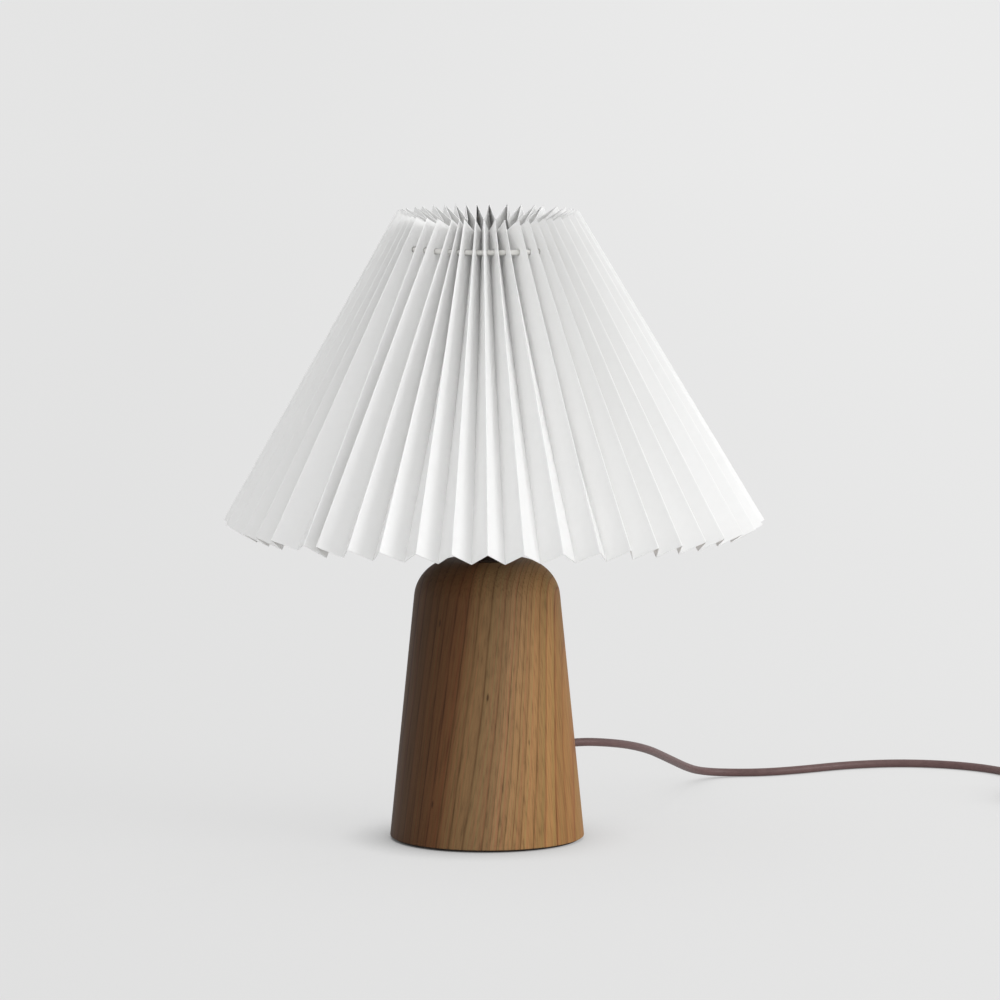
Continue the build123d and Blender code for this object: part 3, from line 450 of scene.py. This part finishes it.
def turned_wood():
    """The foot's wood: growth rings that draw together upwards as on a tapering trunk, each a
    pale band that ends in a thin dark line, with fine pores and a few ducts along the grain, and
    painted shade that darkens its left side."""
    made, tree, shader = new_material("oiled_turned_wood", IOR=1.5, Specular_IOR_Level=0.15)
    trunk = straightened_trunk(tree)
    distance = heart_distance(tree, trunk)
    across = node(tree, "MapRange", {"Value": distance, **SPAN_ACROSS}).outputs["Result"]
    line, year_number = ring_lines(tree, trunk, across)
    body = wood_tone_with_left_shade(tree, distance, across, year_number)
    lined = node(
        tree,
        "Mix",
        {MIX_SHARE: line, MIX_FIRST: body, MIX_SECOND: colour(LINE_TINT)},
        data_type="RGBA",
        blend_type="MULTIPLY",
    )
    drawn_out = node(tree, "Mapping", {"Vector": trunk, "Scale": (1, 1, PORE_SHARE)})
    streaks = node(
        tree,
        "TexNoise",
        {"Vector": drawn_out.outputs["Vector"], "Scale": 1 / PORE_SIZE, "Detail": 3},
    )
    pores = node(tree, "ValToRGB", {"Fac": streaks.outputs["Fac"]}, stops=PORES_BY_SHARES)
    grained = node(
        tree,
        "Mix",
        {
            MIX_SHARE: 1.0,
            MIX_FIRST: lined.outputs[MIX_RESULT],
            MIX_SECOND: pores.outputs["Color"],
        },
        data_type="RGBA",
        blend_type="MULTIPLY",
    )
    speckled = node(
        tree,
        "Mix",
        {
            MIX_SHARE: duct_share(tree, trunk),
            MIX_FIRST: grained.outputs[MIX_RESULT],
            MIX_SECOND: colour(DUCT_TINT),
        },
        data_type="RGBA",
    )
    shine = node(tree, "MapRange", {"Value": streaks.outputs["Fac"], **WOOD_ROUGHNESS})
    relief = node(
        tree,
        "Bump",
        {"Height": streaks.outputs["Fac"], "Distance": PORE_DEPTH, "Strength": PORE_STRENGTH},
    )
    finish_shader(
        tree,
        shader,
        speckled.outputs[MIX_RESULT],
        shine.outputs["Result"],
        relief.outputs["Normal"],
    )
    return made


# Satin paper laminated on film, creased hot: white, matt, with a faint cloudiness
PAPER_BLEED = 0.15 * MM
shade_paper = textured(
    "pleated_laminated_paper",
    "fafaf9",
    "f8f8f7",
    0.4,
    0.5 * MM,
    0.02 * MM,
    IOR=1.45,
    Subsurface_Weight=0.8,
    Subsurface_Radius=(1, 1, 1),
    Subsurface_Scale=PAPER_BLEED,
)
# Soft PVC sheath, extruded and matted: even brown with a broad dull highlight
cord_sheath = textured("matted_pvc_sheath", "6e5351", "644a48", 0.5, 0.4 * MM, 0.02 * MM)
# Braided polyester string: white, soft
braid = textured("braided_polyester", "f2f1ee", "dcdbd6", 0.8, 0.5 * MM, 0.15 * MM)
# Woven nylon strap: near black, soft, with a fine weave
strap_weave = textured("woven_nylon_strap", "343133", "262426", 0.8, 0.5 * MM, 0.12 * MM)
# Needled wool felt: dark, without any shine
felt = textured("needled_wool_felt", "4d4642", "332e2b", 0.95, 0.6 * MM, 0.2 * MM)
# Moulded thermoset: near black, satin, with a faint orange peel
thermoset = textured("moulded_thermoset", "232224", "1c1b1d", 0.32, 0.8 * MM, 0.02 * MM)
# Fired steatite: off white, dull, finely gritty
steatite = textured("fired_steatite", "e9e4d8", "dcd5c6", 0.6, 0.5 * MM, 0.04 * MM)
# Moulded fittings of the cord, near its colour: fine spark-eroded texture, and a smooth rocker
fitting = textured("textured_moulded_abs", "624947", "5a4240", 0.48, 0.5 * MM, 0.05 * MM)
rocker_plastic = textured("smooth_moulded_abs", "6a4f4d", "634a48", 0.28, 0.9 * MM, 0.01 * MM)
# Core insulation: soft PVC, brown and blue
brown_core = textured("brown_pvc_core", "5b3826", "523222", 0.4, 0.5 * MM, 0.01 * MM)
blue_core = textured("blue_pvc_core", "2f5f9f", "2a5690", 0.4, 0.5 * MM, 0.01 * MM)
# Powder coat on the wire carrier: white, with a soft orange peel
powder_coat = textured("white_powder_coat", "e9e8e4", "e2e1dc", 0.4, 0.7 * MM, 0.05 * MM)
# Metals: a plated or rolled skin with fine scratches and dull patches
METAL = {"grain": 0.5 * MM, "depth": 0.01 * MM, "spread": 0.25, "Metallic": 1.0}
zinc = textured("zinc_plated_steel", "b9bbbe", "a4a6aa", 0.38, **METAL)
brass = textured("rolled_brass", "c9a659", "b58f47", 0.3, **METAL)
nickel = textured("nickel_plated_brass", "cfccc5", "bdbab3", 0.2, **METAL)
rolled_cap = textured("rolled_aluminium", "cfd0d2", "bcbdc0", 0.3, **METAL)
# Cast iron: rough from the sand
cast_iron = textured(
    "cast_iron", "58595b", "3c3d3f", 0.6, 0.8 * MM, 0.15 * MM, spread=0.2, Metallic=1.0
)
# Steel with a burnt-on bronze brown skin, waxed: dark and satin, as dark as the shaded top of the
# foot, so that where it shows between the folds it stands in for painted shade
bronzed_dark_as_shade = textured("bronzed_steel", "3a281b", "2f2016", 0.5, 0.5 * MM, 0.01 * MM, Metallic=0.4)
# Opal glass bulb: milky white, satin
opal = textured(
    "opal_glass", "f3f2ed", "efeee8", 0.3, 1.0 * MM, 0.005 * MM, Coat_Weight=0.2
)
# Insulator glass: black and shiny
black_glass = textured("black_insulator_glass", "1a1a1c", "141416", 0.15, 0.8 * MM, 0.01 * MM)
# Circuit board with a white solder mask: even and dull
board_white = textured("white_coated_board", "e4e4e0", "dadad5", 0.45, 0.6 * MM, 0.02 * MM)
wood = turned_wood()

CAD_FINISHES = {
    bronzed_dark_as_shade: ["seat_washer", "lock_nut"],
    felt: ["felt_pad"],
    cast_iron: ["ballast_disc"],
    zinc: [
        "ballast_screws",
        "threaded_tube",
        "lower_washer",
        "lower_nut",
        "grip_screw",
        "holder_lock_screw",
        "terminal_screws",
        "rocker_pin",
        "switch_screws",
    ],
    fitting: ["cord_bush", "cord_grip", "switch_lower_shell", "switch_upper_shell", "plug_body"],
    rocker_plastic: ["switch_rocker"],
    cord_sheath: ["inner_lead"],
    brown_core: ["live_wire", "switch_wires"],
    blue_core: ["neutral_wire"],
    thermoset: ["holder_cap", "holder_shell", "shade_ring"],
    steatite: ["holder_insert"],
    brass: ["screw_sleeve", "centre_contact", "terminal_posts", "bulb_contact", "switch_contacts"],
    nickel: ["plug_pins"],
    rolled_cap: ["bulb_cap"],
    black_glass: ["bulb_insulator"],
    board_white: ["bulb_driver", "bulb_light_board"],
    opal: ["bulb_glass"],
    powder_coat: ["shade_carrier"],
}
for finish, names in CAD_FINISHES.items():
    for name in names:
        for place in cad[name].material_slots:
            place.material = finish
mains_cord.data.materials.append(cord_sheath)

# Pieces. Points closer than this are one, and edges sharper than this many degrees stay sharp
SAME_PLACE, SHARP_EDGE = 1e-6, 35


def placed(name, bm):
    """The bmesh as an object, with its faces pointing outwards."""
    bmesh.ops.recalc_face_normals(bm, faces=bm.faces)
    mesh = bpy.data.meshes.new(name)
    bm.to_mesh(mesh)
    bm.free()
    made = bpy.data.objects.new(name, mesh)
    bpy.context.scene.collection.objects.link(made)
    return made


def apply_modifiers(made):
    """Gives the object the mesh that its modifiers make."""
    graph = bpy.context.evaluated_depsgraph_get()
    applied = bpy.data.meshes.new_from_object(made.evaluated_get(graph))
    before = made.data
    made.modifiers.clear()
    made.data = applied
    bpy.data.meshes.remove(before)
    applied.name = made.name


def finished(
    name, bm, material, body, sharp=SHARP_EDGE, wall=0, cutters=(), flat_panels=False
):
    """Turns a bmesh into a piece of the object: its wall, in metres, its cuts and its finish."""
    bmesh.ops.remove_doubles(bm, verts=bm.verts, dist=SAME_PLACE)
    made = placed(name, bm)
    if wall:
        thicken = made.modifiers.new("thicken", "SOLIDIFY")
        thicken.thickness = wall
        thicken.offset = 0
        thicken.use_even_offset = True
    for cutter in cutters:
        cut = made.modifiers.new("cut", "BOOLEAN")
        cut.object = cutter
        cut.solver = "EXACT"
    if made.modifiers:
        apply_modifiers(made)
    for cutter in cutters:
        bpy.data.objects.remove(cutter)
    made.data.materials.clear()
    made.data.materials.append(material)
    made.data.shade_smooth()
    made.data.set_sharp_from_angle(angle=math.radians(sharp))
    if flat_panels:
        made.modifiers.new("flat_panels", "WEIGHTED_NORMAL").keep_sharp = True
        apply_modifiers(made)
    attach(made, body)
    return made


def spin_round(bm, steps):
    """Turns the outline in a bmesh all the way round Z."""
    bmesh.ops.spin(
        bm,
        geom=bm.verts[:] + bm.edges[:],
        axis=(0, 0, 1),
        cent=(0, 0, 0),
        angle=math.tau,
        steps=steps,
        use_merge=True,
    )


def round_off(bm, parts, offset, segments, affect="EDGES"):
    """Rounds edges or corners off, with the offset in millimetres."""
    bmesh.ops.bevel(
        bm,
        geom=parts,
        offset=offset * MM,
        offset_type="OFFSET",
        segments=segments,
        profile=0.5,
        affect=affect,
        material=-1,
    )


# Turned foot: the outside, the recess for the ballast, the hollow and the bore, one closed wall.
# Sizes in millimetres, and the angle of the cord's way out from +X towards the back
FOOT_RADIUS, NECK_RADIUS, FOOT_LOW, FOOT_HIGH = 63.1, 45.0, 1.5, 182.3
SHOULDER_RADIUS, FOOT_EDGE = 25.5, 0.8
BORE_RADIUS, HOLLOW_RADIUS, HOLLOW_HIGH = 5.3, 25.0, 110.0
RECESS_RADIUS, RECESS_HIGH = 46.3, 13.5
EXIT_HEIGHT, EXIT_ANGLE, EXIT_FACE = 56.0, math.radians(35), 57.8
BUSH_HOLE, RIM_HOLE, RIM_DEPTH = 4.35, 5.55, 1.4
FOOT_STEPS, SHOULDER_STEPS, EDGE_STEPS, HOLE_STEPS = 160, 20, 3, 48
CUT_START, CUT_END = HOLLOW_RADIUS / 2, FOOT_RADIUS * 1.5
RIM_PLAY = 10 * SAME_PLACE


def foot_mesh():
    """The foot without the cord's way out, its shoulder rounded and its lower edge broken."""
    bm = bmesh.new()
    outline = [
        (RECESS_RADIUS, FOOT_LOW),
        (FOOT_RADIUS, FOOT_LOW),
        (NECK_RADIUS, FOOT_HIGH),
        (BORE_RADIUS, FOOT_HIGH),
        (BORE_RADIUS, HOLLOW_HIGH),
        (HOLLOW_RADIUS, HOLLOW_HIGH),
        (HOLLOW_RADIUS, RECESS_HIGH),
        (RECESS_RADIUS, RECESS_HIGH),
    ]
    points = [bm.verts.new(Vector((radius, 0, height)) * MM) for radius, height in outline]
    for pair in zip(points, points[1:] + points[:1]):
        bm.edges.new(pair)
    spin_round(bm, FOOT_STEPS)
    side_lean = math.atan((FOOT_RADIUS - NECK_RADIUS) / (FOOT_HIGH - FOOT_LOW))
    shoulder_run = SHOULDER_RADIUS / math.tan((math.pi / 2 + side_lean) / 2)
    for radius, height, offset, segments in (
        (NECK_RADIUS, FOOT_HIGH, shoulder_run, SHOULDER_STEPS),
        (FOOT_RADIUS, FOOT_LOW, FOOT_EDGE, EDGE_STEPS),
    ):
        rim = [
            edge
            for edge in bm.edges
            if all(
                abs(vert.co.z - height * MM) < RIM_PLAY
                and abs(vert.co.xy.length - radius * MM) < RIM_PLAY
                for vert in edge.verts
            )
        ]
        round_off(bm, rim, offset, segments)
    return bm


def exit_cutter(name, radius, start, end):
    """A round bar square to the cord's way out, between two distances from the axis."""
    bm = bmesh.new()
    bmesh.ops.create_cone(
        bm,
        cap_ends=True,
        segments=HOLE_STEPS,
        radius1=radius * MM,
        radius2=radius * MM,
        depth=(end - start) * MM,
    )
    turn = Matrix.Rotation(EXIT_ANGLE, 4, "Z") @ Matrix.Rotation(math.pi / 2, 4, "Y")
    way = Vector((math.cos(EXIT_ANGLE), math.sin(EXIT_ANGLE), 0)) * (start + end) / 2
    place = Matrix.Translation((way + Vector((0, 0, EXIT_HEIGHT))) * MM)
    bmesh.ops.transform(bm, matrix=place @ turn, verts=bm.verts)
    return placed(name, bm)


foot = finished(
    "turned_foot",
    foot_mesh(),
    wood,
    "root",
    cutters=[
        exit_cutter("bush_hole", BUSH_HOLE, CUT_START, CUT_END),
        exit_cutter("rim_hole", RIM_HOLE, EXIT_FACE - RIM_DEPTH, CUT_END),
    ],
)
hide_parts("wood_base")

# Pleated shade: one sheet in ninety-six panels, in millimetres and degrees. Angles are counted
# from the front, which faces -Y, and grow towards +X. Where the photograph shows the folds,
# their angles are as it shows them. The others are spaced between with a little play
PLEATS, PANEL, FOLD_PLAY = 48, 19.0, 0.7
SHADE_LOW, SHADE_HIGH = (175.0, 208.2), (58.8, 408.3)
LEAN = math.atan2(SHADE_LOW[0] - SHADE_HIGH[0], SHADE_HIGH[1] - SHADE_LOW[1])
LOW_SHIFT = Vector((4.5, 0, 0))
HIGH_SHIFT = Vector((0.5, 0, 0))
SHEET_THICKNESS, SHEET_ROWS, SHEET_SHARP_EDGE = 0.4, 24, 60
FOLD_ROUNDING, FOLD_STEPS = 0.55, 4
LOW_SEEN = {
    -12: -90.0,
    -11: -81.5,
    -10: -74.0,
    -9: -66.8,
    -8: -60.4,
    -7: -54.0,
    -6: -43.5,
    -5: -40.0,
    -4: -31.8,
    -3: -24.35,
    -2: -16.3,
    -1: -8.7,
    0: -1.25,
    1: 6.3,
    2: 14.5,
    3: 22.5,
    4: 29.6,
    5: 36.5,
    6: 42.9,
    7: 50.3,
    8: 57.1,
    9: 65.5,
    10: 73.5,
    11: 81.5,
    12: 90.0,
}
HIGH_SEEN = {
    -12: -90.0,
    -11: -79.0,
    -10: -68.5,
    -9: -61.5,
    -8: -56.0,
    -7: -51.0,
    -6: -41.5,
    -5: -32.9,
    -4: -23.0,
    -3: -17.9,
    -2: -14.7,
    -1: -7.7,
    0: -2.4,
    1: 4.6,
    2: 10.7,
    3: 19.7,
    4: 26.2,
    5: 32.2,
    6: 38.1,
    7: 43.8,
    8: 52.3,
    12: 90.0,
    16: 113.8,
    17: 121.4,
    18: 130.2,
    19: 142.5,
    20: 148.4,
    21: 158.2,
    22: 167.4,
    23: 179.4,
    24: 187.3,
    25: 194.4,
    26: 201.3,
    27: 208.7,
    28: 217.0,
    29: 226.5,
    30: 233.3,
    31: 244.2,
}


def ridge_angles(seen):
    """The angle of every outer fold: those seen, and the others spaced between them."""
    known = sorted(seen.items())
    known.append((known[0][0] + PLEATS, known[0][1] + 360))
    angles = {}
    for (first, start), (last, end) in zip(known, known[1:]):
        for place in range(first, last):
            share = (place - first) / (last - first)
            wander = draw.uniform(-FOLD_PLAY, FOLD_PLAY) if place != first else 0
            angles[place % PLEATS] = start + share * (end - start) + wander
    return [angles[place] for place in range(PLEATS)]


def fold_points(ring, angles, shift):
    """Outer and inner folds in turn at one end of the sheet, from the width of its panels."""
    radius, height = ring
    points = []
    for place, angle in enumerate(angles):
        after = angles[(place + 1) % PLEATS]
        gap = (after - angle) % 360
        half = math.radians(gap / 2)
        spread = 2 * (1 - math.cos(half))
        term = radius * math.cos(LEAN) * spread / 2
        depth = term + math.sqrt(term**2 - spread * radius**2 + PANEL**2)
        for turn, inward in ((angle, 0), (angle + gap / 2, depth)):
            reach = radius - inward * math.cos(LEAN)
            level = height - inward * math.sin(LEAN)
            way = math.radians(turn)
            points.append(shift + Vector((reach * math.sin(way), -reach * math.cos(way), level)))
    return points


def sheet_mesh():
    """The folded sheet before it gets its thickness: its folds straight and rounded off, and
    its panels in rows, because they are a little twisted."""
    low = fold_points(SHADE_LOW, ridge_angles(LOW_SEEN), LOW_SHIFT)
    high = fold_points(SHADE_HIGH, ridge_angles(HIGH_SEEN), HIGH_SHIFT)
    bm = bmesh.new()
    bmesh.ops.create_circle(bm, segments=2 * PLEATS, radius=1)
    bm.verts.ensure_lookup_table()
    ring = bm.verts[:]
    raised = bmesh.ops.extrude_edge_only(bm, edges=bm.edges[:])
    upper = [item for item in raised["geom"] if isinstance(item, bmesh.types.BMVert)]
    partner = {}
    for vert in upper:
        for edge in vert.link_edges:
            other = edge.other_vert(vert)
            if other in ring:
                partner[other] = vert
    for vert, low_point, high_point in zip(ring, low, high):
        vert.co = low_point * MM
        partner[vert].co = high_point * MM
    folds = [edge for edge in bm.edges if (edge.verts[0] in ring) != (edge.verts[1] in ring)]
    round_off(bm, folds, FOLD_ROUNDING, FOLD_STEPS)
    lengthwise = [
        edge for edge in bm.edges if abs(edge.verts[0].co.z - edge.verts[1].co.z) > PANEL * MM
    ]
    bmesh.ops.subdivide_edges(bm, edges=lengthwise, cuts=SHEET_ROWS - 1, use_grid_fill=True)
    return bm


# Drawstring, through a hole punched in every panel, in millimetres
STRING_RING, STRING_HEIGHT, STRING_RADIUS, PUNCH_RADIUS = 61.0, 387.5, 1.6, 2.2
STRING_SIDES, STRING_STEPS, NO_SHARP_EDGE = 16, 192, 180


def ring_mesh(thickness):
    """A round ring where the drawstring runs: the string, or the punch for its holes."""
    bm = bmesh.new()
    bmesh.ops.create_circle(bm, segments=STRING_SIDES, radius=thickness * MM)
    middle = Matrix.Translation(Vector((STRING_RING, 0, STRING_HEIGHT)) * MM)
    upright = Matrix.Rotation(math.pi / 2, 4, "X")
    bmesh.ops.transform(bm, matrix=middle @ upright, verts=bm.verts)
    spin_round(bm, STRING_STEPS)
    return bm


shade_sheet = finished(
    "shade_sheet",
    sheet_mesh(),
    shade_paper,
    "shade",
    sharp=SHEET_SHARP_EDGE,
    wall=SHEET_THICKNESS * MM,
    cutters=[placed("punch", ring_mesh(PUNCH_RADIUS))],
    flat_panels=True,
)
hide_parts("shade_pleats")

drawstring = finished(
    "drawstring", ring_mesh(STRING_RADIUS), braid, "shade", sharp=NO_SHARP_EDGE
)
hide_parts("shade_drawstring")

# Strap round the coil's bundle of turns, where it is nearest to the front, in millimetres: the
# front and low corner of its section, and the back and high one
STRAP_LEFT, STRAP_WIDTH, STRAP_THICKNESS = 400.0, 8.0, 0.55
STRAP_FRONT, STRAP_LOW, STRAP_BACK, STRAP_HIGH = 5.0, 0.35, 26.0, 12.4
STRAP_ROUNDING, STRAP_STEPS = 3.2, 6


def strap_mesh():
    """A band round a box with rounded corners, before it gets its thickness."""
    bm = bmesh.new()
    corners = [
        (STRAP_FRONT, STRAP_LOW),
        (STRAP_BACK, STRAP_LOW),
        (STRAP_BACK, STRAP_HIGH),
        (STRAP_FRONT, STRAP_HIGH),
    ]
    bm.faces.new([bm.verts.new(Vector((STRAP_LEFT, y, z)) * MM) for y, z in corners])
    round_off(bm, bm.verts[:], STRAP_ROUNDING, STRAP_STEPS, affect="VERTICES")
    bmesh.ops.delete(bm, geom=bm.faces[:], context="FACES_ONLY")
    raised = bmesh.ops.extrude_edge_only(bm, edges=bm.edges[:])
    far_side = [item for item in raised["geom"] if isinstance(item, bmesh.types.BMVert)]
    bmesh.ops.translate(bm, vec=Vector((STRAP_WIDTH, 0, 0)) * MM, verts=far_side)
    return bm


cord_strap = finished(
    "cord_strap", strap_mesh(), strap_weave, "root", wall=STRAP_THICKNESS * MM
)

# Floor: pale, with painted light a little stronger to the right and towards the back, in metres.
# Its painted contact shadow grows as the sky is shut out, and is fainter on the lit side
FLOOR_REACH, FLOOR_TINT, FLOOR_SEEN_SHARE = 60, "e0e0df", 0.8
PAINTED_LIGHT_ACROSS = {"From Min": -0.35, "From Max": 0.4, "To Min": 0.765, "To Max": 0.82}
PAINTED_LIGHT_BACK = {"From Min": -0.8, "From Max": 5.0, "To Min": 0.0, "To Max": 0.045}
CONTACT_REACH = 0.07
SHADOW_BY_SKY = {"From Min": 0.3, "From Max": 0.88, "To Min": 0.9, "To Max": 0.0}
SHADOW_ACROSS = {"From Min": -0.03, "From Max": 0.07, "To Min": 1.0, "To Max": 0.4}


def seen_directly(tree):
    """One where a camera, glossy or transmission ray looks, which see the plain background."""
    path = node(tree, "LightPath")
    seen = node(
        tree,
        "Math",
        {0: path.outputs["Is Camera Ray"], 1: path.outputs["Is Glossy Ray"]},
        operation="MAXIMUM",
    )
    also = node(
        tree,
        "Math",
        {0: seen.outputs["Value"], 1: path.outputs["Is Transmission Ray"]},
        operation="MAXIMUM",
    )
    return also.outputs["Value"]


def floor_level(tree):
    """How light the floor looks at each place, with its contact shadow."""
    axes = node(tree, "SeparateXYZ", {"Vector": node(tree, "TexCoord").outputs["Object"]})
    # Painted light: the floor is shown a little lighter to the right and towards the back
    sideways = node(tree, "MapRange", {"Value": axes.outputs["X"], **PAINTED_LIGHT_ACROSS})
    backwards = node(tree, "MapRange", {"Value": axes.outputs["Y"], **PAINTED_LIGHT_BACK})
    level = node(
        tree,
        "Math",
        {0: sideways.outputs["Result"], 1: backwards.outputs["Result"]},
        operation="ADD",
    )
    near = node(tree, "AmbientOcclusion", {"Distance": CONTACT_REACH}, samples=8)
    shadow = node(tree, "MapRange", {"Value": near.outputs["AO"], **SHADOW_BY_SKY})
    lee = node(tree, "MapRange", {"Value": axes.outputs["X"], **SHADOW_ACROSS})
    shaded = node(
        tree,
        "Math",
        {0: shadow.outputs["Result"], 1: lee.outputs["Result"]},
        operation="MULTIPLY",
    )
    contact = node(tree, "Math", {0: 1.0, 1: shaded.outputs["Value"]}, operation="SUBTRACT")
    toned = node(
        tree,
        "Math",
        {0: level.outputs["Value"], 1: contact.outputs["Value"]},
        operation="MULTIPLY",
    )
    return toned.outputs["Value"]


def matt_floor():
    """The floor's material: a matt floor, which where it is seen directly shows painted light and
    a painted contact shadow.
    """
    made = bpy.data.materials.new("matt_white_floor")
    made.use_nodes = True
    tree = made.node_tree
    tree.nodes.clear()
    matt = node(tree, "BsdfDiffuse", {"Color": colour(FLOOR_TINT)})
    plain = node(tree, "Emission", {"Color": floor_level(tree)})
    share = node(tree, "Math", {0: seen_directly(tree), 1: FLOOR_SEEN_SHARE}, operation="MULTIPLY")
    mixed = node(
        tree,
        "MixShader",
        {0: share.outputs["Value"], 1: matt.outputs["BSDF"], 2: plain.outputs["Emission"]},
    )
    node(tree, "OutputMaterial", {"Surface": mixed.outputs["Shader"]})
    return made


floor_mesh = bmesh.new()
bmesh.ops.create_grid(floor_mesh, x_segments=1, y_segments=1, size=FLOOR_REACH)
floor = placed("floor", floor_mesh)
floor.data.materials.append(matt_floor())

# World: a pale studio, lighter above and in front of the lamp, and the plain background where
# it is looked at
SKY_TINT, BACKGROUND_TINT = "fafafa", "e6e6e6"
FRONT_WAY = (0, -0.87, 0.5)
LIGHT_IN_FRONT = {"From Min": 0.5, "From Max": 1.0, "To Min": 0.0, "To Max": 0.28}
LIGHT_ABOVE = {"From Min": -0.1, "From Max": 0.7, "To Min": 0.62, "To Max": 0.77}


def studio_world():
    """The world's shader."""
    made = bpy.data.worlds.new("studio")
    made.use_nodes = True
    tree = made.node_tree
    tree.nodes.clear()
    outward = node(tree, "TexCoord").outputs["Generated"]
    axes = node(tree, "SeparateXYZ", {"Vector": outward})
    facing = node(tree, "VectorMath", {0: outward, 1: FRONT_WAY}, operation="DOT_PRODUCT")
    front = node(
        tree,
        "MapRange",
        {"Value": facing.outputs["Value"], **LIGHT_IN_FRONT},
        interpolation_type="SMOOTHSTEP",
    )
    above = node(tree, "MapRange", {"Value": axes.outputs["Z"], **LIGHT_ABOVE})
    glow = node(
        tree,
        "Math",
        {0: above.outputs["Result"], 1: front.outputs["Result"]},
        operation="ADD",
    )
    around = node(
        tree, "Background", {"Color": colour(SKY_TINT), "Strength": glow.outputs["Value"]}
    )
    behind = node(tree, "Background", {"Color": colour(BACKGROUND_TINT)})
    mixed = node(
        tree,
        "MixShader",
        {0: seen_directly(tree), 1: around.outputs["Background"], 2: behind.outputs["Background"]},
    )
    node(tree, "OutputWorld", {"Surface": mixed.outputs["Shader"]})
    return made


bpy.context.scene.world = studio_world()

# Key light: broad and soft, from the right, a little in front and above
KEY_STRENGTH, KEY_WIDTH, KEY_WAY = 0.95, 32, (0.833, -0.406, 0.375)
key_data = bpy.data.lights.new("key", "SUN")
key_data.energy = KEY_STRENGTH
key_data.angle = math.radians(KEY_WIDTH)
key = bpy.data.objects.new("key", key_data)
key.rotation_euler = Vector(KEY_WAY).to_track_quat("Z", "Y").to_euler()
bpy.context.scene.collection.objects.link(key)

bpy.context.scene.view_settings.view_transform = "Standard"
